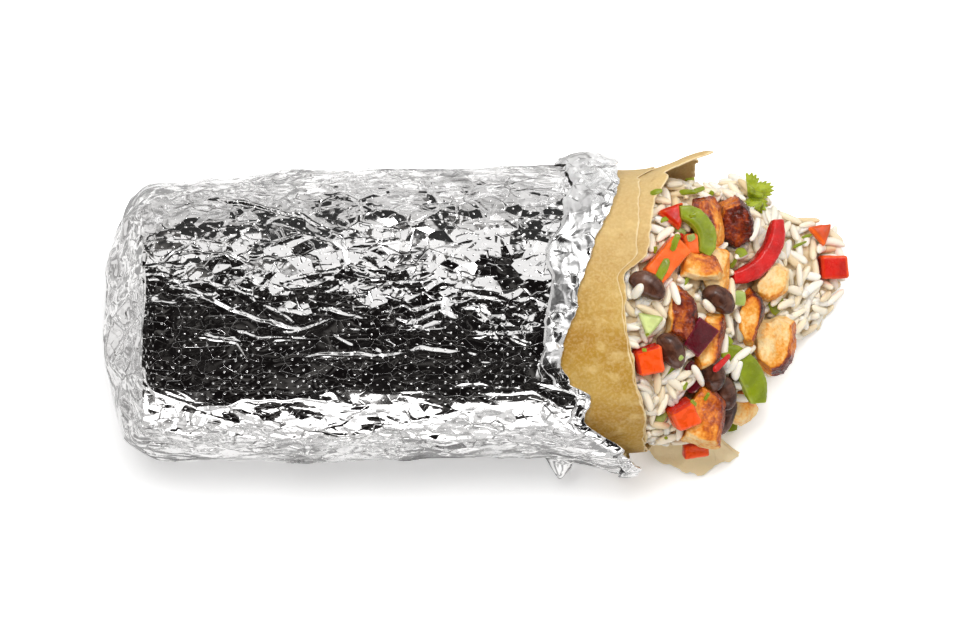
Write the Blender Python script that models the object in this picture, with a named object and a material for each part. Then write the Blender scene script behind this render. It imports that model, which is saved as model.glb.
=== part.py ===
"""A foil-wrapped burrito lying on its side, its torn open end towards +X.

Three skins run through the food: the foil sleeve, the tortilla inside it, and the bed of rice that fills
the tortilla and spills out of its mouth. The larger pieces of filling lie in the rice. Metres, +Z up.
While it is modelled, x is measured from the closed end. The last step moves the origin to the table, under
the middle of the whole. Angles round the body start at its +Y side, and 90 degrees is on top.
"""

import math

import bmesh
import bpy
from mathutils import Matrix, Vector, noise

# The wrapped body
BODY_WIDTH = 0.0825  # across, at the open end
BODY_HEIGHT = 0.0720  # before the belly is flattened
BELLY_FLAT = 0.0015  # how much the table flattens off it
SQUARENESS = 2.5  # of its section: 2 is an ellipse
NARROWING = 0.07  # share of the width lost at the closed end
NARROWING_RUN = 0.060
SIDE_SHIFT = 0.0025  # the closed end lies this far towards -Y
SIDE_SHIFT_RUN = 0.125
DENT_DEPTH = 0.0009
DENT_LENGTH = 0.022
CAP_DEPTH = 0.016  # of the rounded closed end
CAP_SQUARENESS = 2.2
MIDDLE_HEIGHT = BODY_HEIGHT / 2 - BELLY_FLAT

# The skins, from the outside in
FOIL_WALL = 0.0012
TORTILLA_WALL = 0.0022
SKIN_GAP = 0.0005
TORTILLA_INSET = FOIL_WALL + SKIN_GAP
RICE_INSET = TORTILLA_INSET + TORTILLA_WALL + SKIN_GAP
STATIONS = (0.085, 0.055, 0.032)  # x of the sections that the skins share

# Angles of the skins' columns, closer together where a flap stands out
SKIN_ANGLES = (*range(0, 30, 6), *range(30, 180, 10), *range(180, 240, 6), *range(240, 360, 10))

# The foil's torn rim: (angle in degrees, reach in x, how far it flares out, width of the turned-back cuff)
FOIL_RIM = (
    (0, 0.1425, 0.0005, 0.012),
    (18, 0.1430, 0.0016, 0.013),
    (40, 0.1425, 0.0012, 0.013),
    (62, 0.1364, 0.0008, 0.011),
    (85, 0.1313, 0.0006, 0.009),
    (116, 0.1271, 0.0010, 0.006),
    (127, 0.1352, 0.0010, 0.003),
    (135, 0.1333, 0.0012, 0.003),
    (152, 0.1445, 0.0020, 0.003),
    (170, 0.1500, 0.0030, 0.003),
    (198, 0.1480, 0.0065, 0.003),
    (225, 0.1460, 0.0030, 0.004),
    (270, 0.1440, 0.0000, 0.005),
    (330, 0.1420, 0.0000, 0.008),
)
FOIL_SKIRT_START = 0.112
CUFF_RISE = 0.0010
EARS = (  # pinched corners of the foil that stick out: (x, angle, height, length, spread in degrees)
    (0.1275, 198, 0.0075, 0.0026, 5.0),
    (0.1345, 8, 0.0038, 0.0048, 9.0),
)

# The tortilla's mouth: (angle in degrees, reach in x, how far it flares out, how far its upper lap stops short)
TORTILLA_RIM = (
    (0, 0.1660, 0.0045, 0.012),
    (12, 0.1690, 0.0066, 0.015),
    (24, 0.1570, 0.0025, 0.008),
    (40, 0.1530, 0.0005, 0.004),
    (62, 0.1510, 0.0000, 0.003),
    (75, 0.1446, 0.0000, 0.002),
    (90, 0.1445, 0.0000, 0.001),
    (118, 0.1472, 0.0000, 0.001),
    (140, 0.1508, 0.0000, 0.001),
    (180, 0.1515, 0.0000, 0.001),
    (196, 0.1540, 0.0010, 0.001),
    (204, 0.1640, 0.0110, 0.001),
    (212, 0.1705, 0.0155, 0.001),
    (221, 0.1790, 0.0165, 0.001),
    (232, 0.1725, 0.0070, 0.001),
    (245, 0.1680, 0.0010, 0.001),
    (300, 0.1670, 0.0010, 0.002),
    (335, 0.1655, 0.0025, 0.008),
)
TORTILLA_SKIRT_START = 0.120
FLARE_START = 0.140
LAP_STEP = 0.0008

# The rice outside the mouth: (x, middle in y, half width, top, underside)
RICE_AROUND = 28
RICE_HEAP = (
    (0.152, 0.0000, 0.0420, 0.0625, RICE_INSET),
    (0.160, 0.0000, 0.0400, 0.0570, RICE_INSET),
    (0.168, 0.0000, 0.0375, 0.0485, RICE_INSET),
    (0.176, 0.0030, 0.0340, 0.0390, 0.0000),
    (0.184, 0.0065, 0.0285, 0.0285, 0.0000),
    (0.190, 0.0065, 0.0215, 0.0205, 0.0000),
    (0.197, 0.0098, 0.0165, 0.0135, 0.0000),
    (0.202, 0.0112, 0.0152, 0.0095, 0.0000),
    (0.207, 0.0138, 0.0105, 0.0062, 0.0000),
)
RICE_TIP = (0.2103, 0.0145, 0.0020)
RICE_MOUTH = 0.140
HEAP_SQUARENESS = 2.2
SHOULDER = 0.30  # height at which the heap is widest, as a share of its own
HEAP_LUMPS = 0.0009
LUMP_LENGTH = 0.009
UNDERSIDE_DROP = 0.0015  # how deep the heap's round underside is cut flat
MOUTH_EASE = 0.0003  # more room than SKIN_GAP, where the tortilla opens
LIP_END = 0.1685  # as far out as the tortilla's lower lip holds the rice

# The pieces in the rice. Each place is (x, y, height over the rice, turn in degrees).
SEED = 11
PIECE_GAP = 0.00045  # left between a piece and what it is pressed into
LEAN = 0.45  # how far a piece leans with the slope it lies on

CHICKEN = {  # piece: (place), (length, width, height)
    "chicken_seared_corner": ((0.1681, 0.0250, 0.0030, -68), (0.0150, 0.0095, 0.0090)),
    "chicken_charred_cube": ((0.1768, 0.0250, 0.0020, -45), (0.0140, 0.0125, 0.0110)),
    "chicken_golden_slice": ((0.1663, 0.0123, 0.0026, -14), (0.0125, 0.0088, 0.0070)),
    "chicken_pale_slab": ((0.1704, 0.0126, 0.0010, -80), (0.0165, 0.0085, 0.0090)),
    "chicken_dark_strip": ((0.1606, -0.0009, 0.0010, 68), (0.0150, 0.0072, 0.0070)),
    "chicken_pale_chip": ((0.1867, 0.0086, 0.0030, 30), (0.0118, 0.0105, 0.0080)),
    "chicken_crusted_strip": ((0.1808, -0.0021, 0.0030, 84), (0.0168, 0.0080, 0.0085)),
    "chicken_round_chunk": ((0.1880, -0.0101, 0.0050, 66), (0.0168, 0.0130, 0.0115)),
    "chicken_ribbed_strip": ((0.1693, -0.0088, 0.0016, 66), (0.0165, 0.0068, 0.0080)),
    "chicken_long_chunk": ((0.1675, -0.0291, 0.0030, -80), (0.0190, 0.0118, 0.0115)),
    "chicken_torn_chip": ((0.1777, -0.0276, 0.0040, 20), (0.0105, 0.0098, 0.0080)),
}
CHICKEN_SKEW = 0.16  # how far a chunk's corners stray, as a share of its size
CHICKEN_ROUNDING = 0.20

BEANS = {
    "bean_by_the_lap": (0.1508, 0.0068, 0.0040, -30),
    "bean_in_the_middle": (0.1712, 0.0031, 0.0026, -30),
    "bean_on_the_rice": (0.1573, -0.0109, 0.0034, -56),
    "bean_under_pepper": (0.1780, -0.0185, 0.0012, -30),
    "bean_half_hidden": (0.1694, -0.0172, 0.0022, -72),
    "bean_beside_it": (0.1728, -0.0224, 0.0020, -62),
    "bean_low": (0.1740, -0.0296, 0.0010, 70),
}
BEAN_SIZE = (0.0112, 0.0072, 0.0060)
BEAN_BEND = 0.10

TOMATOES = {
    "tomato_cube_by_the_edge": ((0.1512, -0.0132, 0.0020, 12), (0.0076, 0.0074, 0.0068)),
    "tomato_cube_on_rice": ((0.1614, -0.0285, 0.0034, 24), (0.0072, 0.0068, 0.0062)),
    "tomato_long_piece": ((0.1562, 0.0140, 0.0020, 46), (0.0130, 0.0068, 0.0050)),
    "tomato_under_pepper": ((0.1640, 0.0187, 0.0016, 8), (0.0064, 0.0060, 0.0060)),
    "tomato_on_the_flap": ((0.1658, -0.0386, -0.0014, 4), (0.0070, 0.0040, 0.0036)),
    "tomato_cube_in_the_spill": ((0.2058, 0.0128, 0.0008, 4), (0.0082, 0.0068, 0.0052)),
}
TOMATO_SKEW = 0.10
TOMATO_ROUNDING = 0.10

WEDGES = {  # flat three-cornered pieces: (place), radius, thickness
    "tomato_wedge": ((0.1585, 0.0268, 0.0030, 80), 0.0050, 0.0030),
    "tomato_sliver_in_the_spill": ((0.2022, 0.0226, 0.0024, 70), 0.0044, 0.0024),
    "green_chilli_slice": ((0.1515, -0.0030, 0.0034, 50), 0.0046, 0.0024),
}

STRIPS = {  # curved strips of pepper: (place), arc length, width, thickness, bend radius
    "red_pepper_strip": ((0.1850, 0.0148, 0.0060, 47), 0.0240, 0.0052, 0.0042, -0.0160),
    "green_pepper_upper": ((0.1668, 0.0236, 0.0072, -60), 0.0165, 0.0052, 0.0034, 0.0075),
    "green_pepper_lower": ((0.1800, -0.0166, 0.0072, -50), 0.0200, 0.0072, 0.0034, 0.0170),
    "red_onion_layer": ((0.1662, -0.0071, 0.0058, 40), 0.0098, 0.0088, 0.0028, 0.0160),
}
STRIP_CUTS = 6
SLIVER = 2e-6  # points this close are one

FOIL_SILVER = (0.72, 0.72, 0.73, 1)
TORTILLA_GOLD = (0.60, 0.38, 0.13, 1)
RICE_WHITE = (0.80, 0.73, 0.60, 1)
CHICKEN_BROWN = (0.62, 0.28, 0.07, 1)
BEAN_BLACK = (0.060, 0.022, 0.014, 1)
TOMATO_RED = (0.72, 0.055, 0.008, 1)
PEPPER_RED = (0.58, 0.008, 0.004, 1)
PEPPER_GREEN = (0.22, 0.33, 0.012, 1)
ONION_PURPLE = (0.20, 0.008, 0.016, 1)


def smooth(share):
    share = min(max(share, 0.0), 1.0)
    return share * share * (3 - 2 * share)


def along(rim, angle, column):
    """The rim's value in this column at an angle in degrees, eased between the rows on either side of it."""
    angle %= 360
    rows = list(rim) + [(rim[0][0] + 360, *rim[0][1:])]
    for before, after in zip(rows, rows[1:]):
        if before[0] <= angle <= after[0]:
            share = smooth((angle - before[0]) / (after[0] - before[0]))
            return before[column] + (after[column] - before[column]) * share
    raise ValueError(angle)


def superellipse(angle, half_width, half_height, squareness):
    """Distance from the middle to the outline of a rounded section, in the direction of the angle in degrees."""
    turn = math.radians(angle)
    across = abs(math.cos(turn)) / half_width
    up = abs(math.sin(turn)) / half_height
    return (across**squareness + up**squareness) ** (-1 / squareness)


def dent(x, angle):
    turn = math.radians(angle)
    where = Vector((x / DENT_LENGTH, 1.6 * math.cos(turn), 1.6 * math.sin(turn)))
    return DENT_DEPTH * noise.noise(where)


def skin(x, angle, inset, share=1.0, out=0.0):
    """A point of the body, inset from its dented outside. A share under 1 draws it in to close the end."""
    half_width = BODY_WIDTH / 2 * (1 - NARROWING * (1 - smooth(x / NARROWING_RUN)))
    reach = superellipse(angle, half_width, BODY_HEIGHT / 2, SQUARENESS)
    reach += dent(x, angle) if inset == 0 else 0
    reach = (reach - inset + out) * share
    turn = math.radians(angle)
    y = reach * math.cos(turn) - SIDE_SHIFT * (1 - smooth(x / SIDE_SHIFT_RUN))
    z = reach * math.sin(turn) + MIDDLE_HEIGHT
    return Vector((x, y, max(z, inset, 0)))


def cap_ring(slope, inset):
    """A ring of the rounded closed end: slope 0 is its pole, and 90 degrees is where the body begins."""
    power = 2 / CAP_SQUARENESS
    x = CAP_DEPTH - (CAP_DEPTH - inset) * math.cos(math.radians(slope)) ** power
    share = math.sin(math.radians(slope)) ** power
    return lambda angle: skin(x, angle, inset, share)


def body_ring(x, inset):
    return lambda angle: skin(x, angle, inset)


def skirt_ring(rim, starts, share, inset, short=0.0, ears=()):
    """A ring between the straight body and a rim: share 1 is the rim itself, or short of it. The starts are
    where the skirt begins, and where it begins to flare."""

    def point(angle):
        reach = along(rim, angle, 1)
        x = starts[0] + (reach - short * along(rim, angle, 3) - starts[0]) * share
        out = along(rim, angle, 2) * smooth((x - starts[1]) / (reach - starts[1])) ** 2
        for ear_x, ear_angle, height, length, spread in ears:
            turned = (angle - ear_angle + 180) % 360 - 180
            out += height * math.exp(-(((x - ear_x) / length) ** 2) - (turned / spread) ** 2)
        return skin(x, angle, inset, out=out)

    return point


def material(name, colour, roughness, metallic=0.0):
    made = bpy.data.materials.new(name)
    made.use_nodes = True
    shader = made.node_tree.nodes["Principled BSDF"]
    shader.inputs["Base Color"].default_value = colour
    shader.inputs["Roughness"].default_value = roughness
    shader.inputs["Metallic"].default_value = metallic
    return made


def add_object(name, bm, group, finish):
    mesh = bpy.data.meshes.new(name)
    bm.to_mesh(mesh)
    bm.free()
    mesh.materials.append(finish)
    made = bpy.data.objects.new(name, mesh)
    group.objects.link(made)
    return made


def rolled(name, angles, rings, group, finish):
    """A sheet rolled up round the body: one row of it for each ring, with both ends drawn together."""
    bm = bmesh.new()
    bmesh.ops.create_grid(bm, x_segments=len(angles), y_segments=len(rings) - 1, size=0.5)
    for vert in bm.verts:
        column = round((vert.co.x + 0.5) * len(angles)) % len(angles)
        row = round((vert.co.y + 0.5) * (len(rings) - 1))
        vert.co = rings[row](angles[column])
    bmesh.ops.remove_doubles(bm, verts=bm.verts, dist=1e-6)
    bmesh.ops.recalc_face_normals(bm, faces=bm.faces)
    made = add_object(name, bm, group, finish)
    made.data.shade_smooth()
    return made


def foil_wrap(group):
    """The foil: out along its outside, over the cuff to the torn rim, and back along its inside."""
    straight = [CAP_DEPTH + (FOIL_SKIRT_START - CAP_DEPTH) * step / 9 for step in range(1, 10)]

    def skirt(share, inset, short=0.0, ears=()):
        starts = (FOIL_SKIRT_START, FOIL_SKIRT_START)
        return skirt_ring(FOIL_RIM, starts, share, inset, short, ears)

    rings = [cap_ring(slope, 0) for slope in (0, 18, 36, 54, 72, 90)]
    rings += [body_ring(x, 0) for x in straight]
    rings += [skirt(share, 0, 1, EARS) for share in (0.35, 0.7)]
    rings += [skirt(1, 0, 1, EARS), skirt(1, -CUFF_RISE, 0.86, EARS), skirt(1, -CUFF_RISE, 0.4, EARS)]
    rings += [skirt(1, -CUFF_RISE), skirt(1, FOIL_WALL), skirt(0.5, FOIL_WALL)]
    rings += [body_ring(x, FOIL_WALL) for x in (FOIL_SKIRT_START, *STATIONS)]
    rings += [cap_ring(slope, FOIL_WALL) for slope in (90, 62, 34, 0)]
    finish = material("foil", FOIL_SILVER, 0.2, 1.0)
    return rolled("foil_wrap", SKIN_ANGLES, rings, group, finish)


def tortilla(group):
    """The tortilla: out along its outside, down the step of its upper lap to the mouth, and back inside."""
    inside = TORTILLA_INSET + TORTILLA_WALL

    def skirt(share, inset, short=0.0):
        starts = (TORTILLA_SKIRT_START, FLARE_START)
        return skirt_ring(TORTILLA_RIM, starts, share, inset, short)

    rings = [cap_ring(slope, TORTILLA_INSET) for slope in (0, 34, 62, 90)]
    rings += [body_ring(x, TORTILLA_INSET) for x in (*reversed(STATIONS), TORTILLA_SKIRT_START)]
    rings += [skirt(share, TORTILLA_INSET, 1) for share in (0.35, 0.7, 1)]
    rings += [skirt(1, TORTILLA_INSET + LAP_STEP, 0.8), skirt(1, TORTILLA_INSET + LAP_STEP)]
    rings += [skirt(share, inside) for share in (1, 0.75, 0.45)]
    rings += [body_ring(x, inside) for x in (TORTILLA_SKIRT_START, *STATIONS)]
    rings += [cap_ring(slope, inside) for slope in (90, 62, 34, 0)]
    finish = material("tortilla", TORTILLA_GOLD, 0.6)
    return rolled("tortilla", SKIN_ANGLES, rings, group, finish)


def heap_section(x):
    """(middle in y, half width, top, underside) of the heap at x, eased between its stations."""
    rows = [row for row in RICE_HEAP]
    for before, after in zip(rows, rows[1:]):
        if x <= after[0]:
            break
    share = min(max((x - before[0]) / (after[0] - before[0]), 0), 1)
    return [low + (high - low) * share for low, high in zip(before[1:], after[1:])]


def heap_ring(x):
    """A section of the heap: a dome down to its shoulders, drawn in below them and cut flat underneath."""

    def point(angle):
        middle, half_width, top, underside = heap_section(x)
        shoulder = underside + SHOULDER * (top - underside)
        half_height = top - shoulder if angle < 180 else shoulder - underside + UNDERSIDE_DROP
        reach = superellipse(angle, half_width, half_height, HEAP_SQUARENESS)
        turn = math.radians(angle)
        y, z = reach * math.cos(turn), reach * math.sin(turn)
        lump = 1 + HEAP_LUMPS / reach * noise.noise(Vector((x, y, z)) / LUMP_LENGTH)
        y, z = middle + y * lump, max(shoulder + z * lump, underside)
        if x < LIP_END:
            seen = math.degrees(math.atan2(z - MIDDLE_HEIGHT, y))
            wall = skin(x, seen % 360, RICE_INSET + MOUTH_EASE)
            share = min(1, math.hypot(wall.y, wall.z - MIDDLE_HEIGHT) / math.hypot(y, z - MIDDLE_HEIGHT))
            y, z = y * share, MIDDLE_HEIGHT + (z - MIDDLE_HEIGHT) * share
        return Vector((x, y, z))

    return point


def rice_bed(group):
    """The rice: from the closed end through the tortilla, and out over the heap to its tip on the table."""
    angles = [360 * column / RICE_AROUND for column in range(RICE_AROUND)]
    rings = [cap_ring(slope, RICE_INSET) for slope in (0, 34, 62, 90)]
    rings += [body_ring(x, RICE_INSET) for x in (*reversed(STATIONS), TORTILLA_SKIRT_START, RICE_MOUTH)]
    rings += [heap_ring(x) for x in (0.152, 0.156, 0.160, 0.164, 0.168, 0.172)]
    rings += [heap_ring(x) for x in (0.176, 0.180, 0.184, 0.190, 0.197, 0.202, 0.207)]
    rings.append(lambda angle: Vector(RICE_TIP))
    return rolled("rice_bed", angles, rings, group, material("rice", RICE_WHITE, 0.5))


def heap_top(x, y):
    """Height of the heap's upper surface over the table."""
    middle, half_width, top, underside = heap_section(x)
    shoulder = underside + SHOULDER * (top - underside)
    off = min(abs(y - middle) / half_width, 0.98)
    return shoulder + (top - shoulder) * (1 - off**HEAP_SQUARENESS) ** (1 / HEAP_SQUARENESS)


def place_on_heap(x, y, lift, turn):
    """The matrix of a piece set down on the heap: it leans with the slope and is turned in plan."""
    step = 0.004
    slope_x = (heap_top(x + step, y) - heap_top(x - step, y)) / (2 * step)
    slope_y = (heap_top(x, y + step) - heap_top(x, y - step)) / (2 * step)
    up = Vector((-slope_x, -slope_y, 1)).normalized() * LEAN + Vector((0, 0, 1 - LEAN))
    up.normalize()
    ahead = Vector((math.cos(math.radians(turn)), math.sin(math.radians(turn)), 0))
    ahead = (ahead - up * ahead.dot(up)).normalized()
    axes = Matrix((ahead, up.cross(ahead), up)).transposed().to_4x4()
    return Matrix.Translation((x, y, heap_top(x, y) + lift)) @ axes


def skewed_block(bm, size, skew, rounding, seed):
    """A box whose corners stray a little, with rounded edges."""
    bmesh.ops.create_cube(bm, size=1)
    for vert in bm.verts:
        stray = noise.noise_vector(vert.co * 2.7 + Vector((seed, 0, 0)))
        vert.co = Vector(s * (c + skew * n) for s, c, n in zip(size, vert.co, stray))
    width = rounding * min(size)
    bmesh.ops.bevel(bm, geom=bm.edges[:], offset=width, segments=1, affect="EDGES")


def chicken_chunk(bm, size, seed):
    skewed_block(bm, size, CHICKEN_SKEW, CHICKEN_ROUNDING, seed)


def tomato_dice(bm, size, seed):
    skewed_block(bm, size, TOMATO_SKEW, TOMATO_ROUNDING, seed)


def bean(bm):
    """A squat ellipsoid, a little bent, so that one side is hollow like a kidney."""
    bmesh.ops.create_uvsphere(bm, u_segments=8, v_segments=6, radius=0.5)
    bmesh.ops.rotate(bm, verts=bm.verts, matrix=Matrix.Rotation(math.pi / 2, 3, "Y"))
    for vert in bm.verts:
        x, y, z = vert.co
        y += BEAN_BEND * (1 - 4 * x * x)
        vert.co = Vector(c * s for c, s in zip((x, y, z), BEAN_SIZE))


def wedge(bm, radius, thickness):
    bmesh.ops.create_cone(
        bm, cap_ends=True, segments=3, radius1=radius, radius2=radius * 0.92, depth=thickness
    )
    bmesh.ops.bevel(bm, geom=bm.edges[:], offset=thickness * 0.22, segments=1, affect="EDGES")


def curved_strip(bm, length, width, thickness, bend_radius):
    """A bar, cut across its length and bent in plan. Its two ends are rounded off."""
    bmesh.ops.create_cube(bm, size=1)
    lengthwise = [edge for edge in bm.edges if abs(edge.verts[0].co.x - edge.verts[1].co.x) > 0.5]
    bmesh.ops.subdivide_edges(bm, edges=lengthwise, cuts=STRIP_CUTS)
    rims = [edge for edge in bm.edges if edge.verts[0].co.yz == edge.verts[1].co.yz]
    bmesh.ops.bevel(bm, geom=rims, offset=0.16, segments=1, affect="EDGES")
    for vert in bm.verts:
        narrowing = 1 - 0.35 * abs(2 * vert.co.x) ** 4
        turn = vert.co.x * length / bend_radius
        out = bend_radius + vert.co.y * width * narrowing
        vert.co = Vector(
            (
                out * math.sin(turn),
                out * math.cos(turn) - bend_radius,
                vert.co.z * thickness * narrowing,
            )
        )
    bmesh.ops.recalc_face_normals(bm, faces=bm.faces)


def piece(name, place, group, finish, shape, *sizes):
    """One piece of filling, shaped and set down on the heap."""
    bm = bmesh.new()
    shape(bm, *sizes)
    bmesh.ops.transform(bm, verts=bm.verts, matrix=place_on_heap(*place))
    bmesh.ops.recalc_face_normals(bm, faces=bm.faces)
    return add_object(name, bm, group, finish)


def filling_pieces(group):
    """The pieces in the rice, the uppermost first: each later one is cut clear of those before it."""
    finishes = {
        "chicken": material("chicken", CHICKEN_BROWN, 0.45),
        "bean": material("bean", BEAN_BLACK, 0.3),
        "tomato": material("tomato", TOMATO_RED, 0.25),
        "red": material("red_pepper", PEPPER_RED, 0.25),
        "green": material("green_pepper", PEPPER_GREEN, 0.3),
        "onion": material("red_onion", ONION_PURPLE, 0.3),
    }

    def finish_of(name):
        return next(finishes[word] for word in reversed(name.split("_")[:2]) if word in finishes)

    made = [piece(name, row[0], group, finish_of(name), curved_strip, *row[1:]) for name, row in STRIPS.items()]
    for name, (place, radius, thickness) in WEDGES.items():
        made.append(piece(name, place, group, finish_of(name), wedge, radius, thickness))
    for name, place in BEANS.items():
        made.append(piece(name, place, group, finishes["bean"], bean))
    for seed, (name, (place, size)) in enumerate(TOMATOES.items()):
        made.append(piece(name, place, group, finishes["tomato"], tomato_dice, size, seed + 20.3))
    for seed, (name, (place, size)) in enumerate(CHICKEN.items()):
        made.append(piece(name, place, group, finishes["chicken"], chicken_chunk, size, seed + 3.7))
    return made


def grown_copy(obj, group):
    """A cutter: the object's own shape, grown by the gap that a piece keeps to its bed."""
    bm = bmesh.new()
    bm.from_mesh(obj.data)
    bm.normal_update()
    for vert, normal in [(vert, vert.normal.copy()) for vert in bm.verts]:
        vert.co += normal * PIECE_GAP
    cutter = add_object(obj.name + "_cutter", bm, group, obj.data.materials[0])
    cutter.hide_render = True
    cutter.display_type = "WIRE"
    return cutter


def boxes_meet(first, second):
    """Whether the boxes round two untransformed objects overlap."""
    ends = [[(min(axis), max(axis)) for axis in zip(*obj.bound_box)] for obj in (first, second)]
    return all(a[0] < b[1] and b[0] < a[1] for a, b in zip(*ends))


def keep_largest_part(bm):
    """Drops the crumbs that a cut leaves beside the main body."""
    bm.verts.index_update()
    parts, seen = [], set()
    for start in bm.verts:
        if start in seen:
            continue
        part, waiting = [], [start]
        seen.add(start)
        while waiting:
            vert = waiting.pop()
            part.append(vert)
            near = {edge.other_vert(vert) for edge in vert.link_edges} - seen
            seen |= near
            waiting += near
        parts.append(part)
    parts.sort(key=len)
    bmesh.ops.delete(bm, geom=[vert for part in parts[:-1] for vert in part], context="VERTS")


def cut_clear(obj, cutters, cutting):
    """Cuts the object round the cutters that reach it, all at once, and makes the result its mesh."""
    near = [cutter for cutter in cutters if boxes_meet(obj, cutter)]
    if not near:
        return
    group = bpy.data.collections.new("cutters_of_" + obj.name)
    cutting.children.link(group)
    for cutter in near:
        group.objects.link(cutter)
    cut = obj.modifiers.new("pieces", "BOOLEAN")
    cut.operation = "DIFFERENCE"
    cut.operand_type = "COLLECTION"
    cut.collection = group
    graph = bpy.context.evaluated_depsgraph_get()
    bm = bmesh.new()
    bm.from_mesh(obj.evaluated_get(graph).to_mesh())
    obj.modifiers.clear()
    bmesh.ops.remove_doubles(bm, verts=bm.verts, dist=SLIVER)
    bmesh.ops.dissolve_degenerate(bm, edges=bm.edges, dist=SLIVER)
    keep_largest_part(bm)
    bm.to_mesh(obj.data)
    bm.free()


def stand_on_origin(objects):
    """Hangs all the objects on one empty, with the origin on the table under their middle."""
    corners = [Vector(corner) for obj in objects for corner in obj.bound_box]
    low = Vector(min(axis) for axis in zip(*corners))
    high = Vector(max(axis) for axis in zip(*corners))
    middle = bpy.data.objects.new("burrito_middle", None)
    objects[0].users_collection[0].objects.link(middle)
    middle.location = (-(low.x + high.x) / 2, -(low.y + high.y) / 2, -low.z)
    for obj in objects:
        obj.parent = middle


def main():
    noise.seed_set(SEED)
    for obj in list(bpy.data.objects):
        bpy.data.objects.remove(obj)
    burrito = bpy.data.collections.new("burrito")
    cutting = bpy.data.collections.new("cutters")
    for group in (burrito, cutting):
        bpy.context.scene.collection.children.link(group)

    foil = foil_wrap(burrito)
    wrap = tortilla(burrito)
    rice = rice_bed(burrito)
    pieces = filling_pieces(burrito)
    bpy.context.view_layer.update()
    cutters = [grown_copy(obj, cutting) for obj in pieces]
    bpy.context.view_layer.update()
    for count, obj in enumerate(pieces):
        cut_clear(obj, cutters[:count], cutting)
    cut_clear(rice, cutters, cutting)
    stand_on_origin([foil, wrap, rice, *pieces])


main()
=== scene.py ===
"""The looks of a foil-wrapped burrito, laid out as a Blender add-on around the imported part."""

import itertools
import math

import bpy
import numpy as np
from bpy.props import FloatProperty, FloatVectorProperty, IntProperty, PointerProperty
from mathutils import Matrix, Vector
from mathutils.bvhtree import BVHTree
from mathutils.kdtree import KDTree


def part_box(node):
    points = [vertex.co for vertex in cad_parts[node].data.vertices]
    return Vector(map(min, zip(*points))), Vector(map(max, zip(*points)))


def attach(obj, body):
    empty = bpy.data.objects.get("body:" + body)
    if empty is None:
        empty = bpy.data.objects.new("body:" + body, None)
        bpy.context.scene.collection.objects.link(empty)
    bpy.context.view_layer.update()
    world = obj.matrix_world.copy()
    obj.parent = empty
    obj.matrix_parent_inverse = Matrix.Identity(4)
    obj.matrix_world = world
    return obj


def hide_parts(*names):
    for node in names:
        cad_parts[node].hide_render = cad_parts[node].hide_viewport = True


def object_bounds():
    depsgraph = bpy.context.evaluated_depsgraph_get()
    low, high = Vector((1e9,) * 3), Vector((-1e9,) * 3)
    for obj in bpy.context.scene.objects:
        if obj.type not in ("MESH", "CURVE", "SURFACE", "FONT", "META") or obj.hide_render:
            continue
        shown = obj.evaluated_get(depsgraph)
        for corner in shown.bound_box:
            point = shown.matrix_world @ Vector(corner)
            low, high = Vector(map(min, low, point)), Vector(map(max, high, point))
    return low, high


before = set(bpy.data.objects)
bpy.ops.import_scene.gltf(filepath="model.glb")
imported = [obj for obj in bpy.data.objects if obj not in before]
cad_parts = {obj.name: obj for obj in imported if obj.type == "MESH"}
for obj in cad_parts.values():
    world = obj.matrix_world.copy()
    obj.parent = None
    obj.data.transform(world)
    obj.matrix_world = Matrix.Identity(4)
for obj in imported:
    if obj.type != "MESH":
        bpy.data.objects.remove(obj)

bl_info = {
    "name": "Foil-wrapped burrito",
    "version": (1, 0, 0),
    "blender": (4, 5, 0),
    "location": "3D View > Sidebar > Burrito",
    "description": "Crumpled foil, tortilla, rice grains, grilled chicken, beans and peppers",
    "category": "Object",
}

CAD_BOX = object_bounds()

# The wrapped body. In these tables x runs from its closed end and y 0 is its middle line; adding HOME moves a
# point from there into the scene.
HOME = np.array((CAD_BOX[0].x, 0.0012, 0.0))
BODY_WIDTH = 0.0825
BODY_HEIGHT = 0.0720
SQUARENESS = 2.5
NARROWING, NARROWING_RUN = 0.07, 0.060
SIDE_SHIFT, SIDE_SHIFT_RUN = 0.0025, 0.125
CAP_DEPTH = 0.016
CAP_SQUARENESS = 2.8
MIDDLE_HEIGHT = 0.0345
CEILING = CAD_BOX[1].z - 0.0001  # nothing may stand higher

# Rims: (angle in degrees from +Y over the top, reach in x, flare, width of the turned-back cuff)
FOIL_RIM = (
    (0, 0.1425, 0.0005, 0.0150),
    (18, 0.1430, 0.0016, 0.0160),
    (40, 0.1425, 0.0012, 0.0150),
    (62, 0.1364, 0.0008, 0.0130),
    (85, 0.1313, 0.0006, 0.0085),
    (112, 0.1271, 0.0010, 0.0055),
    (119, 0.1290, 0.0010, 0.0040),
    (125, 0.1350, 0.0010, 0.0040),
    (133, 0.1338, 0.0012, 0.0040),
    (152, 0.1445, 0.0020, 0.0040),
    (170, 0.1500, 0.0030, 0.0040),
    (198, 0.1480, 0.0065, 0.0045),
    (225, 0.1460, 0.0030, 0.0050),
    (270, 0.1440, 0.0000, 0.0060),
    (330, 0.1420, 0.0000, 0.0100),
)
EARS = (  # pinched corners of the foil: (x, angle, height, length, spread in degrees)
    (0.1275, 198, 0.0075, 0.0026, 5.0),
    (0.1345, 8, 0.0034, 0.0048, 9.0),
)
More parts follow.
